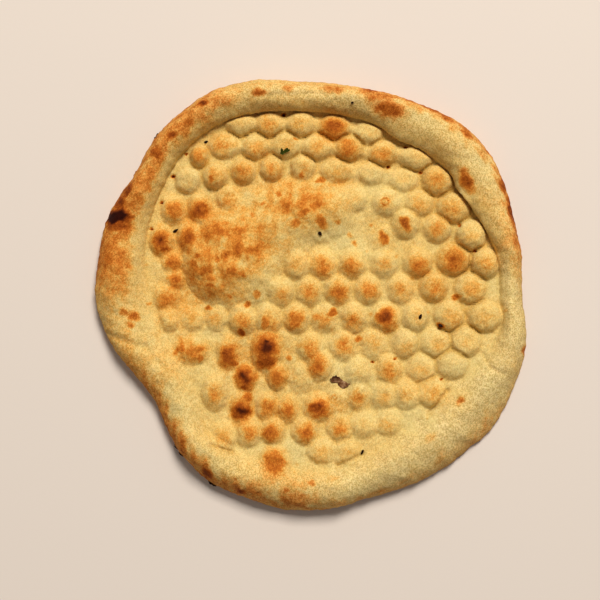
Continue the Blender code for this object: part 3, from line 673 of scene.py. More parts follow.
def wall_share(x, y):
    """1 half way up the rim's steep inner side, fading out above and below."""
    off_middle = (across_rim(x, y) - WALL_PLACE[0]) / WALL_PLACE[1]
    return np.exp(-(off_middle**2)) * at_place(WALL_STEEPNESS, x, y)


def blot(toast, share):
    """Adds browning on top of browning, towards 1."""
    return 1 - (1 - toast) * (1 - share)


def knob_tips():
    """(halo, core, brownness) of each knob's tip."""
    stray = np.random.default_rng(TIP_SEED)
    for (knobs, _), browns in zip(jittered(KNOB_ROWS), TIP_BROWNS):
        for bead, percent in zip(knobs, browns):
            brown = percent / 100
            aside, below = stray.uniform(-TIP_STRAY, TIP_STRAY, 2)
            low = bead.y - TIP_LOW
            width, height = bead.half_width, bead.half_height
            halo = (bead.x, low, width * TIP_HALO[0], height * TIP_HALO[0], 0)
            size = (TIP_GROWTH[0] + TIP_GROWTH[1] * brown) * TIP_CORE
            core = (bead.x + aside * width, low + below * height, width * size, height * size, 0)
            yield halo, core, brown


def bent(x, y, fall, layer):
    """x and y moved by smooth waves, so that outlines turn irregular."""
    wavelength, height, seed = layer
    across, up = (height * ripple(x, fall, wavelength, seed + i) for i in range(2))
    return x + across, y + up


def top_toast(x, y, z):
    """Brownness of the crust above the rim's widest ring."""
    across = across_rim(x, y)
    drop = at_place(CREST_HEIGHT, x, y) - z
    drop = np.where(across > at_place(CREST_PLACE, x, y), drop, 0)
    fall = y + SIDE_STRETCH * np.clip(drop, 0, None)
    mottle = unevenness(x, fall, MOTTLING)
    on_zone, on_halo, on_band = (np.clip(1 + share * mottle, 0, most) for share, most in MOTTLED)
    toast = PALE_TOAST + unevenness(x, y, PALE_DRIFT)
    u, v = bent(x, y, fall, AREA_WAVES)
    for zone in ZONES:
        toast = blot(toast, brown_spot(u, v, zone) * on_zone)
    for halo, core, brown in knob_tips():
        share = TIP_HALO[1] * spot(u, v, halo) * on_halo
        toast = blot(toast, brown * share)
        toast = blot(toast, brown**TIP_CONTRAST * spot(u, v, core, CORE_EDGE))
    u, v = bent(x, y, fall, MARK_WAVES)
    for marks, edge in ((MARKS + RIM_MARKS, MARK_EDGE), (SCORCHES, SCORCH_EDGE)):
        for mark in marks:
            toast = np.maximum(toast, brown_spot(u, v, mark, edge))
    for ring_x, ring_y, radius, brown in BLISTERS:
        off_ring = (np.hypot(x - ring_x, y - ring_y) - radius) / BLISTER_WIDTH
        toast = np.maximum(toast, brown * np.exp(-(off_ring**2)))
    band = (across - at_place(BAND_START, x, y)) / BAND_EDGE + 0.5 + BAND_RAGGED * mottle
    band = ease(band) * at_place(BAND_BROWN, x, y) * on_band
    toast = blot(toast, np.where(across > 0, band, 0))
    # painted shade: the rim's steep inner side is browned as its shade
    toast = blot(toast, WALL_SHADE_BROWN * wall_share(x, y))
    # painted shade: the pits where creases meet are browned to near black
    toast = np.maximum(toast, PIT_SHADE_DARKNESS * pits(x, y, z))
    flecks = strewn_spots(x, y, FLECKS, lambda draw, _: draw.uniform(*FLECK_BROWNS))
    return np.maximum(toast, flecks)


def side_toast(x, y, z):
    """Brownness of the rim below its widest ring, with patches of char."""
    rough = unevenness(x, y, (SIDE_PATCHES,)) + unevenness(x, y + SIDE_SLANT * z, (SIDE_STREAKS,))
    return SIDE_BROWN + unevenness(x, y, SIDE_DRIFT) + SIDE_CHAR * ease(rough - SIDE_BARE)


def base_toast(x, y):
    """Brownness of the underside: leopard spots from the oven's hot wall."""
    start, run, brown = BASE_SPOTS
    cells = unevenness(x, y, BASE_CELLS)
    plain = BASE_BROWN + unevenness(x, y, BASE_DRIFT) + BASE_CELL_BROWN * cells
    return plain + brown * ease((cells - start) / run)


# ---- The bread's skin: the frame's form on a finer mesh, with pores and small swellings.

SKIN_RINGS = 126  # floor rings of 6, 12, 18 ... corners
SKIN_CORNERS = 6 * SKIN_RINGS  # of each ring of the rim
RIM_STEPS = (18, 20, 9)  # rings up its inner side, from its crest to its widest, and to its base
SIDE_FADE = 5  # rings below the widest over which the top's browning passes into the side's

# Relief, in mm; waves are (wavelength, height, seed).
PUCKER = ((9.0, 0.14, 61), (4.4, 0.12, 62), (2.3, 0.07, 63))
SIDE_RELIEF = 0.6  # share of the relief that the rim shows below its widest ring
BROWN_SWELL = 0.30  # how far browned dough blisters up,
SWELL_LIMIT = 0.5  # and the share by which the darkest falls short of that
PORES = (64, 460, 116.0, (0.5, 1.1))  # as FLECKS
PORE_DEPTH = 0.38  # over a pore's size
# (x, y, size) of the pits where creases meet, sunk into the crust and painted near black as shade.
PITS = (
    (-80, 50, 1.1), (-74, 64, 1.4), (-67, 76, 0.9), (-30, 98, 1.2), (-15, 97, 1.4),
    (50, 79.5, 1.2), (58, 66, 1), (41, 69, 1.1), (78.5, 38, 0.9), (86.5, 24, 0.9),
    (54.5, -17.5, 0.9), (44.5, -33, 1.1), (32.5, -35, 0.9), (76, -29.5, 0.7), (69, -44, 0.8),
    (-85.5, 36, 1),
)
PIT_SHAPE = (0.85, 0.6, 20)  # (half length, half width) over the size, and turn in degrees
PIT_DEPTH = 1.5
PIT_SHADE_DARKNESS = 1.1  # painted shade on the brownness scale: over 1, so that it is near black for some way round its middle
PIT_CEILING = 11.0  # height above which no pit shows, so that none runs up the rim's side,
PIT_FADE = 3.0  # and how far below that it starts to fade
GROOVE_DEPTH = 1.3
GROOVE_WIDTH = 0.26  # in shares of a knob's height,
GROOVE_START = 0.22  # as is where a groove begins
GROOVE_REACH = 1.12  # how far out two knobs touch, over their size
BASE_INSET = 1.0  # how far inside the resting edge the underside's points lie
DENTS = ((11.0, 1.0, 57),)
DENT_START = (12.0, 10.0)  # distance inside the edge where the underside's dents start, and run
DENT_SHALLOW = 0.2  # height of the waves that leaves no dent
DENT_DEPTH = 0.35

# The painted shade: how far a crease lies below its surroundings, from 0 to 1. It darkens the
# crust's colour there, as the shade in creases.
CELL = 1.0  # of the grid that the surroundings are averaged on,
GRID_REACH = 130.0  # its half width,
SURROUNDINGS = 1.6  # and how far the average reaches
LEAST_COUNT = 1e-6  # of points that it divides by, where there are none
SHADE_START_DEPTH = 0.12
FULL_SHADE_DEPTH = 1.6  # mm of depth below its surroundings that makes full painted shade
GROOVE_PAINTED_SHADE = 0.70  # how fully a groove 1 mm deep takes the painted shade's colour,
PIT_PAINTED_SHADE = 1.2  # and a pit's middle
WALL_PAINTED_SHADE = 0.32  # how much of the painted shade's colour the rim's steep inner side takes
FOOT_SHADE_LIMIT = 0.35  # most painted shade that counts at the rim's foot,
FOOT_REACH = 5.0  # and how far from it that limit ends

# Dry, dusty crust: (degrees, share), and the (run, start) of its rise across the rim.
FLOUR_BANDS = (
    (0, 0.6), (60, 0.6), (100, 0.7), (130, 0.35), (180, 0.2), (230, 0.3), (290, 0.7), (330, 0.8),
)
FLOUR_EDGE = (0.5, 0.1)
FLOUR_WAVES = ((12.0, 0.2, 71),)


def pits(x, y, z):
    """Share of the pits where creases meet, which are sunk and painted dark as shade."""
    half_length, half_width, turn = PIT_SHAPE
    share = np.zeros_like(x)
    for pit_x, pit_y, size in PITS:
        pit = (pit_x, pit_y, half_length * size, half_width * size, turn)
        share = np.maximum(share, spot(x, y, pit, MARK_EDGE))
    return share * ease((PIT_CEILING - z) / PIT_FADE)


def grooves(x, y):
    """Depth of the narrow grooves where knobs that no neck joins press against each other."""
    highest, second = np.zeros_like(x), np.zeros_like(x)
    for knobs, neck in jittered(KNOB_ROWS):
        in_row = np.zeros_like(x)
        for bead in knobs:
            reach = knob_reach(x, y, bead, neck) / GROOVE_REACH
            dome = bead.height * np.clip(1 - reach**2, 0, 1)
            second = np.maximum(second, np.minimum(dome, highest))
            if not neck:
                second = np.maximum(second, np.minimum(dome, in_row))
            in_row = np.maximum(in_row, dome)
        highest = np.maximum(highest, in_row)
    contact = np.exp(-(((highest - second) / GROOVE_WIDTH) ** 2)) * ease(second / GROOVE_START)
    return GROOVE_DEPTH * contact * crispness(x, y)


def sunk_depth(points):
    """How far each point lies below its surroundings: creases above 0, knobs below."""
    half = math.ceil(GRID_REACH / CELL)
    column, line = np.round(points[:, :2].T / CELL).astype(int) + half
    height, count = np.zeros((2, 2 * half + 1, 2 * half + 1))
    np.add.at(height, (line, column), points[:, 2])
    np.add.at(count, (line, column), 1)
    cells = np.arange(2 * half + 1)
    blur = np.exp(-((np.subtract.outer(cells, cells) * CELL / SURROUNDINGS) ** 2) / 2)
    mean_height = (blur @ height @ blur) / np.maximum(blur @ count @ blur, LEAST_COUNT)
    return mean_height[line, column] - points[:, 2]


def skin_painted_shade(points):
    """Painted shade of the crust's top, from how far it lies below its surroundings, apart from its
    grooves and pits.
    """
    x, y, _ = points.T
    painted_shade = (sunk_depth(points) - SHADE_START_DEPTH) / FULL_SHADE_DEPTH
    from_foot = abs(np.hypot(x, y) - at_place(FOOT, x, y))
    limit = FOOT_SHADE_LIMIT + (1 - FOOT_SHADE_LIMIT) * ease(from_foot / FOOT_REACH)
    # the rim's steep inner side takes painted shade too
    return np.maximum(np.minimum(painted_shade, limit), WALL_PAINTED_SHADE * wall_share(x, y))


def flour(x, y):
    """How dusty and dry the crust looks: on the rim, and most at the lower right."""
    run, start = FLOUR_EDGE
    share = ease(across_rim(x, y) / run + start + unevenness(x, y, FLOUR_WAVES))
    return share * at_place(FLOUR_BANDS, x, y)


def base_points(rings):
    """Points of the flat underside, with low dents away from its edge."""

    def radius(angle):
        tuck = UNDERCUT * around(EQUATOR_SHARE, angle) * around(CREST_HEIGHT, angle)
        return around(EDGE, angle) - tuck - BASE_INSET

    x, y = disc_points(rings, radius).T
    start, run = DENT_START
    inside = ease((at_place(EDGE, x, y) - start - np.hypot(x, y)) / run)
    dents = np.clip(unevenness(x, y, DENTS) - DENT_SHALLOW, 0, 1)
    return np.column_stack((x, y, DENT_DEPTH * inside * dents))


def skin_points():
    """(points, faces, top's count, sides' count) of the skin, in millimetres."""
    angle = ring_angles(SKIN_CORNERS)
    points = [floor_points(SKIN_RINGS)]
    faces = disc_faces(SKIN_RINGS)
    steps = [part + i / count for part, count in enumerate(RIM_STEPS) for i in range(count)]
    last = len(points[0]) - SKIN_CORNERS
    for step in steps[1:] + [len(RIM_STEPS)]:
        points.append(rim_ring(angle, step))
        faces += band_faces(last, SKIN_CORNERS, last + SKIN_CORNERS)
        last += SKIN_CORNERS
    total = last + SKIN_CORNERS
    rings = SKIN_RINGS // 2
    points.append(base_points(rings))
    faces += halving_faces(last, SKIN_CORNERS, total + 1 + 3 * rings * (rings - 1))
    faces += [tuple(total + i for i in reversed(face)) for face in disc_faces(rings)]
    sides = RIM_STEPS[-1] * SKIN_CORNERS
    return np.concatenate(points), faces, total - sides, sides


def skin_toast(points, top, sides):
    """Brownness of every point of the skin."""
    upper = top_toast(*points[:top].T)
    lower = side_toast(*points[top : top + sides].T)
    share = ease((np.arange(sides) // SKIN_CORNERS + 1) / SIDE_FADE)
    widest = np.tile(upper[-SKIN_CORNERS:], RIM_STEPS[-1])
    lower = widest + (lower - widest) * share
    return np.concatenate((upper, lower, base_toast(*points[top + sides :, :2].T)))


def set_values(mesh, name, values):
    """Gives each of the mesh's points a value, which its material reads by name."""
    attribute = mesh.attributes.new(name, "FLOAT", "POINT")
    attribute.data.foreach_set("value", values.astype(np.float32))


def make_skin():
    """The bread's crust, raised and sunk along its normals by what is too fine for the form."""
    points, faces, top, sides = skin_points()
    mesh = bpy.data.meshes.new("naan_crust")
    mesh.from_pydata(points.tolist(), [], faces)
    normals = np.empty(3 * len(points))
    mesh.vertex_normals.foreach_get("vector", normals)
    x, y, z = points.T
    toast = skin_toast(points, top, sides)
    groove, pit = grooves(x[:top], y[:top]), pits(x[:top], y[:top], z[:top])
    swell = BROWN_SWELL * toast * (1 - SWELL_LIMIT * toast)
    pores = strewn_spots(x, y, PORES, lambda _, size: PORE_DEPTH * size)
    relief = unevenness(x, y, PUCKER) + swell - pores
    relief[:top] -= groove + PIT_DEPTH * pit
    relief[top:] *= np.repeat((SIDE_RELIEF, 0.0), (sides, len(points) - top - sides))
    relief[top + sides - SKIN_CORNERS : top + sides] = 0
    # painted shade: the crust's colour is darkened in creases, grooves and pits and on the rim's
    # inner side
    painted_shade = np.zeros(len(points))
    painted_shade[:top] = skin_painted_shade(points[:top]) + (GROOVE_PAINTED_SHADE * groove + PIT_PAINTED_SHADE * pit)
    raised = points + normals.reshape(-1, 3) * relief[:, None]
    raised[:, 2] = np.maximum(raised[:, 2], 0)
    mesh.vertices.foreach_set("co", ((raised - middle()) * MM).ravel())
    set_values(mesh, "toast", toast)
    set_values(mesh, "flour", np.clip(flour(x, y), 0, 1))
    set_values(mesh, "painted_shade", np.clip(painted_shade, 0, 1))
    return add_piece("naan_crust", mesh, crust_material())


def add_piece(name, mesh, material):
    """A piece that rides with the bread and stands for its solid."""
    mesh.materials.append(material)
    mesh.shade_smooth()
    thing = add_to_scene(name, mesh)
    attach(thing, "root")
    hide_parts("naan")
    return thing


# ---- Toppings.

# Seeds: (x, y, turn in degrees, length, width).
SEEDS = (
    (-56.4, 82.5, 20, 2.3, 1.6), (-72.4, 35.1, 28, 3.9, 1.7), (4.3, 33.5, -50, 3.0, 2.1),
    (57.5, -10.6, 68, 3.0, 1.8), (68.7, -15.4, -20, 2.7, 1.8), (21.3, 101.7, 10, 1.7, 1.3),
    (26.6, -82.5, 96, 3.3, 1.6),
)
SEED_RINGS = 14
SEED_CORNERS = 18
SEED_SEED = 73
SEED_LIFT = 0.18  # how far a seed's middle lies above the crust, over its width
SEED_OUTLINE = (0.6, 0.35)  # power of its profile, and how much thinner its far end is
SEED_FLATS = (3, 0.16)  # how many sides it has, and how flat they are
SEED_WRINKLE = (0.05, 9, 5)  # depth, count round it, and half turns along it
SEED_LEAST = 0.01  # radius of its ends

# The herb leaf: (x, y, turn in degrees), and its lobes (root x, root y, lean, length, width).
LEAF = (-14.4, 77.4, 25)
LOBES = (
    (-2.7, -0.5, -4, 3.6, 2.0),
    (-1.7, -0.8, 74, 2.8, 1.7),
    (-0.4, -0.8, 28, 3.0, 2.0),
    (0.2, -0.6, -4, 2.7, 1.6),
    (-0.9, -0.6, 118, 1.6, 1.3),
)
LOBE_GRID = (8, 4)  # faces along and across a lobe
LOBE_OUTLINE = (0.1, 0.88)  # start and run of the part of a half wave that it follows
LOBE_NOTCHES = (0.22, 9)  # (depth over its width, radians along it) of its edge's waves
LEAF_LIFT = 0.30
LEAF_THIN = 0.07
LEAF_RISE = 0.35  # of a lobe's tip over its root,
LEAF_CUP = 0.15  # of its edges over its middle,
LEAF_WAVE = (0.10, 7)  # and (height, radians along it) of its waves

# The torn flake of baked skin; waves are (height, radians along it, radians across it).
SCRAP = (14.8, -45.4, -35)  # x, y and turn in degrees
SCRAP_SIZE = (9.6, 4.4, 0.6)  # length, width, thickness
SCRAP_GRID = (22, 11)
SCRAP_LIFT = 0.5
SCRAP_CURL = 0.5  # how high its ends rise
SCRAP_SKEW = 0.8
SCRAP_WAIST = (0.32, 0.35)  # (depth over its width, half length over its own) of its middle
SCRAP_RAGS = ((0.12, 5, 2), (0.08, 13, -4))
SCRAP_CRUMPLES = ((0.15, 3.4, 2.2), (0.07, 8, -5))
SCRAP_ENDS = (0.10, 0.05, 8)  # how round and how ragged its ends are, and their waves' radians
SCRAP_EDGE = (0.85, 6)  # how much thinner its edge is, and the power of that
BURN_END = (0.9, 0.6)  # how burnt its near end is, and how much more at one corner,
BURN_TIPS = (0.8, 8)  # (share, power) towards both ends,
BURN_SIDES = (0.5, 6, -0.2)  # and towards its sides, from this place on

# Flakes of char under the rim's edge: (degrees, spread in degrees, count).
CHAR_SPOTS = ((228.5, 2.6, 5), (241.0, 1.8, 4), (133.0, 3.0, 3), (144.0, 1.5, 2))
CHAR_SEED = 81
CHAR_INSET = (-0.4, 1.2)
CHAR_HEIGHTS = (3.0, 7.0)
CHAR_SIZES = (0.6, 1.3)
CHAR_LENGTHS = (1.2, 2.4)  # length of a flake over its size,
CHAR_THIN = (0.9, 0.5)  # and its width and thickness
CHAR_TURN = 0.5  # radians
CHAR_DETAIL = 3  # subdivisions of a flake
CHAR_BUMPS = (0.22, 2600, 900)  # depth over its size, and radians in a metre of X and of Z,
CHAR_RIDGES = (0.15, 4100)  # and of Y


def seat(surface, place, sink=0.0):
    """Frame on the bread at (x, y, turn): Z out of the surface, X turned, origin sunk in it."""
    x, y, turn = place
    middle_x, middle_y, _ = middle()
    above = Vector(((x - middle_x) * MM, (y - middle_y) * MM, 1.0))
    touched, normal = surface.ray_cast(above, Vector((0, 0, -1)))[:2]
    along = Vector((cos(math.radians(turn)), sin(math.radians(turn)), 0))
    along = (along - normal * along.dot(normal)).normalized()
    place_frame = Matrix((along, normal.cross(along), normal)).transposed().to_4x4()
    place_frame.translation = touched - normal * sink * MM
    return place_frame


def waves(t, s, layers):
    return sum(height * sin(along * t + across * s) for height, along, across in layers)


def join_rings(shape, rings):
    """Faces between neighbouring rings of corners."""
    for low, high in zip(rings, rings[1:]):
        for i in range(len(low)):
            shape.faces.new((low[i - 1], low[i], high[i], high[i - 1]))


def add_sheet(shape, place, grid, corner):
    """Adds a thin closed sheet, and gives the (t, s) of each of its points.

    corner(t, s, side) is a point of its lower face, where side is -1, or of its upper face. t
    runs from 0 to 1 along it and s from -1 to 1 across it.
    """
    rows, columns = grid
    across = [2 * i / columns - 1 for i in range(columns + 1)]
    rings = []
    places = []
    for row_number in range(rows + 1):
        t = row_number / rows
        ring = [(t, s, -1) for s in across] + [(t, s, 1) for s in reversed(across)]
        rings.append([shape.verts.new(place @ (Vector(corner(*point)) * MM)) for point in ring])
        places += [point[:2] for point in ring]
    join_rings(shape, rings)
    for end in (rings[0], rings[-1]):
        for i in range(columns):
            shape.faces.new((end[i], end[i + 1], end[-2 - i], end[-1 - i]))
    return places


def finish_shape(name, shape, slot):
    mesh = bpy.data.meshes.new(name)
    bmesh.ops.recalc_face_normals(shape, faces=shape.faces)
    shape.to_mesh(mesh)
    shape.free()
    return add_piece(name, mesh, mottled_material(slot))


def add_seed(shape, place, length, width, phase):
    """A black three-sided seed, pointed at one end, with wrinkled faces."""
    power, taper = SEED_OUTLINE
    sides, flatness = SEED_FLATS
    depth, count, twist = SEED_WRINKLE
    rings = []
    for i in range(SEED_RINGS + 1):
        t = i / SEED_RINGS
        thick = width / 2 * sin(pi * t) ** power * (1 - taper * t)
        ring = []
        for angle in ring_angles(SEED_CORNERS):
            flats = 1 + flatness * cos(sides * angle + phase)
            wrinkle = 1 + depth * sin(count * angle + twist * t * pi + phase)
            reach = max(thick * flats * wrinkle, SEED_LEAST)
            corner = Vector((length * (t - 0.5), reach * cos(angle), reach * sin(angle)))
            ring.append(shape.verts.new(place @ (corner * MM)))
        rings.append(ring)
    join_rings(shape, rings)
    shape.faces.new(reversed(rings[0]))
    shape.faces.new(rings[-1])


def make_seeds(surface):
    draw = np.random.default_rng(SEED_SEED)
    shape = bmesh.new()
    for x, y, turn, length, width in SEEDS:
        place = seat(surface, (x, y, turn), -SEED_LIFT * width)
        add_seed(shape, place, length, width, draw.uniform(0, 2 * pi))
    finish_shape("seeds", shape, "seed")


def add_lobe(shape, place, lobe):
    """One pointed lobe of a leaf, thicker along its middle."""
    root_x, root_y, degrees, length, width = lobe
    lean = math.radians(degrees)
    start, run = LOBE_OUTLINE
    depth, notches = LOBE_NOTCHES
    height, ripples = LEAF_WAVE

    def corner(t, s, side):
        half = width / 2 * sin(pi * (t * run + start))
        along, across = t * length, s * half * (1 + depth * sin(notches * t))
        lift = LEAF_LIFT + LEAF_RISE * t * t + height * sin(ripples * t + lean)
        return (
            root_x + along * cos(lean) - across * sin(lean),
            root_y + along * sin(lean) + across * cos(lean),
            lift + LEAF_CUP * s * s + side * LEAF_THIN * (1 - s * s),
        )

    add_sheet(shape, place, LOBE_GRID, corner)


def make_leaf(surface):
    """A dried herb leaf: pointed lobes that fan out of one stalk, thin and wavy."""
    place = seat(surface, LEAF)
    shape = bmesh.new()
    for lobe in LOBES:
        add_lobe(shape, place, lobe)
    finish_shape("herb_leaf", shape, "herb")


def scrap_corner(share, s, side):
    """A point of the flake: wide ends, a narrow middle and ragged edges."""
    t = 2 * share - 1
    length, width, thickness = SCRAP_SIZE
    depth, half_length = SCRAP_WAIST
    rounding, ragging, ripples = SCRAP_ENDS
    thinning, power = SCRAP_EDGE
    end = (1 - rounding * s * s) * (1 + ragging * sin(ripples * s))
    waist = 1 - depth * math.exp(-((t / half_length) ** 2))
    lift = SCRAP_LIFT + SCRAP_CURL * t * t + waves(t, s, SCRAP_CRUMPLES)
    thick = thickness / 2 * (1 - thinning * max(abs(t), abs(s)) ** power)
    return (
        length / 2 * t * end + SCRAP_SKEW * s,
        width / 2 * s * (1 + waves(t, s, SCRAP_RAGS)) * waist,
        lift + side * thick,
    )


def scrap_burn(share, s):
    """How burnt the flake is: at its near end, its tips and its sides."""
    t = 2 * share - 1
    near_end = -t * (BURN_END[0] + BURN_END[1] * s)
    tips = BURN_TIPS[0] * t ** BURN_TIPS[1]
    strength, power, start = BURN_SIDES
    return max(near_end, tips, strength * s**power * (t > start))


def make_scrap(surface):
    """A torn flake of baked skin, burnt at its near end."""
    shape = bmesh.new()
    places = add_sheet(shape, seat(surface, SCRAP), SCRAP_GRID, scrap_corner)
    flake = finish_shape("baked_skin_flake", shape, "baked_skin").data
    burns = np.array([scrap_burn(*place) for place in places])
    set_values(flake, "toast", np.clip(burns, 0, 1))
    blacken(flake.materials[0])


def add_crumb(shape, draw, degrees, spread):
    """One flake of char at the rim's edge."""
    angle = math.radians(degrees + draw.uniform(-spread, spread))
    out = float(around(EDGE, np.array(angle))) - draw.uniform(*CHAR_INSET)
    size = draw.uniform(*CHAR_SIZES)
    middle_x, middle_y, _ = middle()
    x, y = out * cos(angle) - middle_x, out * sin(angle) - middle_y
    centre = Vector((x, y, draw.uniform(*CHAR_HEIGHTS))) * MM
    turn = Matrix.Rotation(angle + draw.uniform(-CHAR_TURN, CHAR_TURN), 4, "Z")
    width, thickness = CHAR_THIN
    sizes = (size * width, size * draw.uniform(*CHAR_LENGTHS), size * thickness, 1)
    place = Matrix.Translation(centre) @ turn @ Matrix.Diagonal(sizes)
    crumb = bmesh.ops.create_icosphere(shape, subdivisions=CHAR_DETAIL, radius=MM, matrix=place)
    depth, along_x, along_z = CHAR_BUMPS
    ridge, along_y = CHAR_RIDGES
    for vert in crumb["verts"]:
        bump = 1 + depth * sin(along_x * vert.co.x + along_z * vert.co.z + size)
        bump += ridge * sin(along_y * vert.co.y)
        vert.co = centre + (vert.co - centre) * bump


def make_char():
    """Crumbs and flakes of char that stick out under the rim's edge."""
    draw = np.random.default_rng(CHAR_SEED)
    shape = bmesh.new()
    for degrees, spread, count in CHAR_SPOTS:
        for _ in range(count):
            add_crumb(shape, draw, degrees, spread)
    finish_shape("char_crumbs", shape, "char")


# ---- Materials: colours are linear, and stops are (place, red, green, blue).

CRUST_RAMP = (  # by brownness
    (0.00, 0.80, 0.618, 0.248), (0.15, 0.815, 0.540, 0.172), (0.30, 0.78, 0.400, 0.085),
    (0.45, 0.69, 0.250, 0.034), (0.60, 0.53, 0.150, 0.015), (0.72, 0.38, 0.090, 0.009),
    (0.82, 0.26, 0.052, 0.004), (0.91, 0.125, 0.022, 0.003), (1.00, 0.030, 0.004, 0.0015),
)
FLOUR_COLOUR = (0.725, 0.535, 0.245)
FLOUR_SHARE = 0.6
FLOUR_LOSS = 1.5  # how fast browning covers the flour
PAINTED_SHADE_TINT = (0.76, 0.67, 0.48)  # painted shade: what creases keep of the crust's colour
GRAIN_SIZE = 0.5  # mm: the crust's finest grain, which shades and roughens it,
SPECK_SIZE = 1.0  # and a coarser one that browns it unevenly
SPECK_ON_TOAST = (0.01, 0.85)  # how far specks shift brownness: anywhere, and where half browned
MOTTLE_NOISE = (4.2, 3.0)  # (size in mm, detail, maybe roughness) of soft mottling,
MOTTLE_ON_TOAST = (0.10, 0.9)  # and how far it shifts brownness
GRAIN_SHADE = ((0.25, 0.72, 0.66, 0.51), (0.50, 0.98, 0.97, 0.95), (0.72, 1.15, 1.17, 1.25))
GRAIN_SHARE = (0.50, 0.90, 1.0)  # how far that shows: anywhere, and more on flour and on toast
PATCH_NOISE = (16.0, 2.0)
PATCH_SHADE = ((0.30, 0.93, 0.93, 0.90), (0.70, 1.0, 1.0, 1.0))
CRUST_GLOSS = (0.80, 0.70)  # roughness of pale and of charred crust
CRUST_SHINE = 0.06
CRUST_SOFTNESS = 0.06  # share of light that passes through the dough,
SOFT_DEPTH = (0.0040, 0.0018, 0.0007)  # and how deep each colour goes, in metres
BUMP_FINE = (0.75, 0.20)  # strength, and depth in mm
BUMP_COARSE = (0.35, 0.55)
COARSE_NOISE = (2.4, 4.0, 0.6)
NOISE_ROUGHNESS = 0.55
NOISE_BENDING = 0.6

# Toppings: roughness, size of the mottling, (strength, depth) of the bump, and colour stops.
FINISHES = {
    "seed": (0.55, 0.4, (0.6, 0.08), (0.35, 0.006, 0.002, 0.001), (0.65, 0.028, 0.010, 0.004)),
    "herb": (
        0.7, 0.7, (0.5, 0.08),
        (0.30, 0.010, 0.013, 0.001), (0.55, 0.040, 0.050, 0.004), (0.75, 0.12, 0.12, 0.010),
    ),
    "baked_skin": (
        0.6, 1.8, (0.5, 0.15),
        (0.34, 0.12, 0.040, 0.011), (0.50, 0.26, 0.120, 0.050), (0.66, 0.46, 0.28, 0.15),
    ),
    "char": (
        0.75, 1.0, (0.8, 0.2),
        (0.35, 0.006, 0.004, 0.003), (0.55, 0.035, 0.012, 0.006), (0.70, 0.16, 0.055, 0.018),
    ),
}
TOPPING_SHINE = 0.05
TOPPING_NOISE = (4.0, 0.6)  # detail, roughness
SCRAP_BURNT = (0.042, 0.011, 0.004)

# Sockets of a mix node that mixes colours: the share and both colours, and the mixed one.
MIX_INPUTS = (0, 6, 7)
MIX_OUTPUT = 2


def connect(tree, value, socket):
    """Sets a shader input to a number or a colour, or links it to a node's output."""
    if isinstance(value, bpy.types.NodeSocket):
        tree.links.new(value, socket)
    else:
        socket.default_value = (*value, 1.0) if isinstance(value, tuple) else value


def add_node(tree, kind, values=None, **settings):
    """One shader node: values by input, settings by attribute."""
    node = tree.nodes.new(kind)
    for name, value in settings.items():
        setattr(node, name, value)
    for name, value in (values or {}).items():
        connect(tree, value, node.inputs[name])
    return node


def add_math(tree, operation, first, second, clamp=False):
    """A math node on two values, each a socket or a number."""
    values = {0: first, 1: second}
    node = add_node(tree, "ShaderNodeMath", values, operation=operation, use_clamp=clamp)
    return node.outputs["Value"]


def add_line(tree, value, slope, start, clamp=False):
    """start + slope * value."""
    product = add_math(tree, "MULTIPLY", value, slope)
    return add_math(tree, "ADD", product, start, clamp)


def add_value(tree, name):
    """A value that the mesh's points carry."""
    return add_node(tree, "ShaderNodeAttribute", attribute_name=name).outputs["Fac"]


def add_noise(tree, place, size, detail, roughness=NOISE_ROUGHNESS):
    """Noise with features of about size millimetres, as a value from 0 to 1."""
    values = {
        "Vector": place,
        "Scale": 1 / (size * MM),
        "Detail": detail,
        "Roughness": roughness,
        "Distortion": NOISE_BENDING,
    }
    return add_node(tree, "ShaderNodeTexNoise", values).outputs["Fac"]


def add_grain(tree, place, size):
    """Irregular grains of about size millimetres, each its own value from 0 to 1."""
    values = {"Vector": place, "Scale": 1 / (size * MM)}
    node = add_node(tree, "ShaderNodeTexVoronoi", values)
    return add_math(tree, "MULTIPLY", node.outputs["Color"], 1.0)  # makes its colour one value


def add_ramp(tree, value, stops):
    """Colours along a value."""
    node = add_node(tree, "ShaderNodeValToRGB", {"Fac": value})
    ramp = node.color_ramp
    while len(ramp.elements) < len(stops):
        ramp.elements.new(0.5)
    for element, (place, *colour) in zip(ramp.elements, stops):
        element.position = place
        element.color = (*colour, 1.0)
    return node.outputs["Color"]


def add_mix(tree, share, first, second, blend="MIX"):
    """Mixes two colours, each a socket or a tuple."""
    values = dict(zip(MIX_INPUTS, (share, first, second)))
    mix = add_node(tree, "ShaderNodeMix", values, data_type="RGBA", blend_type=blend)
    return mix.outputs[MIX_OUTPUT]


def add_bump(tree, height, strength, depth, below=None):
    values = {"Strength": strength, "Distance": depth * MM, "Height": height}
    if below is not None:
        values["Normal"] = below
    return add_node(tree, "ShaderNodeBump", values).outputs["Normal"]


def new_material(name, **values):
    """(material, tree, shader) of a Principled material; values by input, _ for each space."""
    material = bpy.data.materials.new(name)
    material.use_nodes = True
    tree = material.node_tree
    shader = tree.nodes["Principled BSDF"]
    for input_name, value in values.items():
        shader.inputs[input_name.replace("_", " ")].default_value = value
    return material, tree, shader


def shift_toast(tree, toast, place):
    """(brownness broken up by specks and mottling, how far the crust is half browned)."""
    noises = (
        (add_grain(tree, place, SPECK_SIZE), SPECK_ON_TOAST),
        (add_noise(tree, place, *MOTTLE_NOISE), MOTTLE_ON_TOAST),
    )
    halfway = add_math(tree, "MULTIPLY", toast, add_math(tree, "SUBTRACT", 1.0, toast), clamp=True)
    for noise, (anywhere, on_toast) in noises:
        reach = add_line(tree, halfway, on_toast, anywhere)
        shift = add_math(tree, "MULTIPLY", add_math(tree, "SUBTRACT", noise, 0.5), reach)
        toast = add_math(tree, "ADD", toast, shift)
    return add_math(tree, "ADD", toast, 0.0, clamp=True), halfway


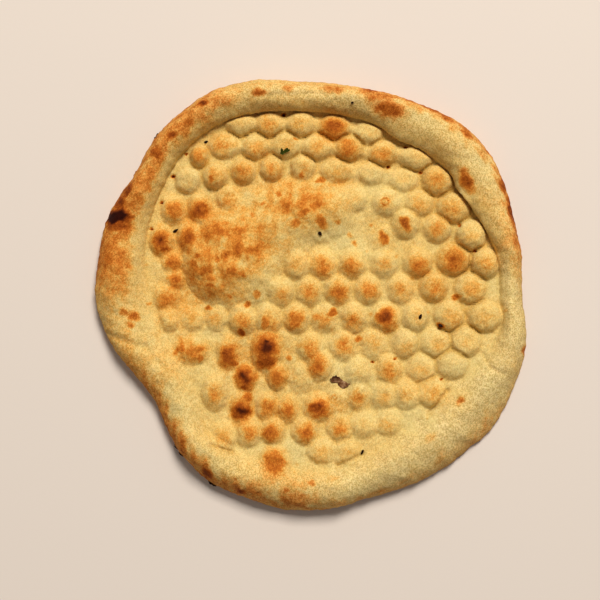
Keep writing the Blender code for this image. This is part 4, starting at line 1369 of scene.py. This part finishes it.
def crust_material():
    """Baked dough: pale to charred by the skin's toast values, broken up by grain, and darkened in
    creases by painted shade.
    """
    material, tree, shader = new_material(
        "crust", Roughness=CRUST_GLOSS[0], Specular_IOR_Level=CRUST_SHINE,
        Subsurface_Weight=CRUST_SOFTNESS, Subsurface_Radius=SOFT_DEPTH, Subsurface_Scale=1.0,
    )
    place = add_node(tree, "ShaderNodeTexCoord").outputs["Object"]
    dust = add_value(tree, "flour")
    grain = add_grain(tree, place, GRAIN_SIZE)
    browned, halfway = shift_toast(tree, add_value(tree, "toast"), place)
    bare = add_line(tree, browned, -FLOUR_LOSS, 1.0, clamp=True)
    dusty = add_math(tree, "MULTIPLY", add_math(tree, "MULTIPLY", dust, FLOUR_SHARE), bare)
    colour = add_mix(tree, dusty, add_ramp(tree, browned, CRUST_RAMP), FLOUR_COLOUR)
    anywhere, on_flour, on_toast = GRAIN_SHARE
    grainy = add_line(tree, dust, on_flour, add_math(tree, "MULTIPLY", halfway, on_toast))
    grainy = add_math(tree, "ADD", grainy, anywhere, clamp=True)
    patch = add_ramp(tree, add_noise(tree, place, *PATCH_NOISE), PATCH_SHADE)
    shades = (
        (grainy, add_ramp(tree, grain, GRAIN_SHADE)),
        (1.0, patch),
        # painted shade in creases
        (add_value(tree, "painted_shade"), PAINTED_SHADE_TINT),
    )
    for share, shade in shades:
        colour = add_mix(tree, share, colour, shade, "MULTIPLY")
    pale_gloss, char_gloss = CRUST_GLOSS
    coarse = add_bump(tree, add_noise(tree, place, *COARSE_NOISE), *BUMP_COARSE)
    tree.links.new(colour, shader.inputs["Base Color"])
    gloss = add_line(tree, browned, char_gloss - pale_gloss, pale_gloss)
    tree.links.new(gloss, shader.inputs["Roughness"])
    tree.links.new(add_bump(tree, grain, *BUMP_FINE, below=coarse), shader.inputs["Normal"])
    return material


def mottled_material(name):
    """A topping's finish: noise runs its colour through the stops and roughens it."""
    roughness, size, bump, *stops = FINISHES[name]
    values = {"Roughness": roughness, "Specular_IOR_Level": TOPPING_SHINE}
    material, tree, shader = new_material(name, **values)
    place = add_node(tree, "ShaderNodeTexCoord").outputs["Object"]
    noise = add_noise(tree, place, size, *TOPPING_NOISE)
    tree.links.new(add_ramp(tree, noise, stops), shader.inputs["Base Color"])
    tree.links.new(add_bump(tree, noise, *bump), shader.inputs["Normal"])
    return material


def blacken(material):
    """Burns a material to near black where the toast value is high."""
    tree = material.node_tree
    colour = tree.nodes["Principled BSDF"].inputs["Base Color"]
    pale = colour.links[0].from_socket
    tree.links.new(add_mix(tree, add_value(tree, "toast"), pale, SCRAP_BURNT), colour)


# ---- Floor, light and camera.

FLOOR_SIZE = 24.0  # m, so that its far edge stays out of sight in a low view
FLOOR_DROP = 0.2  # how far it lies below the bread's flat underside, in mm
FLOOR_COLOUR = (0.75, 0.655, 0.575)
FLOOR_GLOSS = 0.8
CAMERA_LENS = 85.0
CAMERA_SENSOR = 36.0
VIEW_MIDDLE = (-5.86, -2.13)  # what the middle of the view looks at, in mm
VIEW_WIDTH = 319.4  # of the view at the bread's mean height
VIEW_HEIGHT = 9.0  # mean height of the bread's top
KEY_PLACE = (0.47, 1.74, 2.48)  # m, high above the top of the view
KEY_SIZE = 1.0  # m
KEY_POWER = 104.0  # W
KEY_COLOUR = (1.0, 0.965, 0.91)
SKY_COLOUR = (1.0, 0.975, 0.94)
SKY_STRENGTH = 0.19


def add_to_scene(name, data):
    thing = bpy.data.objects.new(name, data)
    bpy.context.scene.collection.objects.link(thing)
    return thing


def make_floor():
    shape = bmesh.new()
    bmesh.ops.create_grid(shape, x_segments=1, y_segments=1, size=FLOOR_SIZE / 2)
    mesh = bpy.data.meshes.new("floor")
    shape.to_mesh(mesh)
    shape.free()
    colour = (*FLOOR_COLOUR, 1.0)
    mesh.materials.append(new_material("floor", Roughness=FLOOR_GLOSS, Base_Color=colour)[0])
    floor = add_to_scene("floor", mesh)
    floor.location.z = -FLOOR_DROP * MM
    floor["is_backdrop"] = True


def make_light():
    light = bpy.data.lights.new("key", "AREA")
    light.size = KEY_SIZE
    light.energy = KEY_POWER
    light.color = KEY_COLOUR
    key = add_to_scene("key", light)
    key.location = KEY_PLACE
    key.rotation_euler = (-Vector(KEY_PLACE)).to_track_quat("-Z", "Y").to_euler()
    world = bpy.data.worlds.new("studio")
    world.use_nodes = True
    sky = world.node_tree.nodes["Background"]
    sky.inputs["Color"].default_value = (*SKY_COLOUR, 1.0)
    sky.inputs["Strength"].default_value = SKY_STRENGTH
    bpy.context.scene.world = world


def make_camera():
    lens = bpy.data.cameras.new("camera")
    lens.lens = CAMERA_LENS
    lens.sensor_width = CAMERA_SENSOR
    camera = add_to_scene("camera", lens)
    height = VIEW_WIDTH * CAMERA_LENS / CAMERA_SENSOR + VIEW_HEIGHT
    camera.location = (VIEW_MIDDLE[0] * MM, VIEW_MIDDLE[1] * MM, height * MM)
    bpy.context.scene.camera = camera


def main():
    bpy.context.scene.view_settings.view_transform = "Standard"
    make_floor()
    make_light()
    make_camera()
    crust = make_skin()
    shape = bmesh.new()
    shape.from_mesh(crust.data)
    surface = BVHTree.FromBMesh(shape)
    shape.free()
    make_seeds(surface)
    make_leaf(surface)
    make_scrap(surface)
    make_char()


main()
visual_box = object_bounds()
boxes = {"cad": cad_box, "visual": visual_box}
{name: [list(corner) for corner in box] for name, box in boxes.items()}
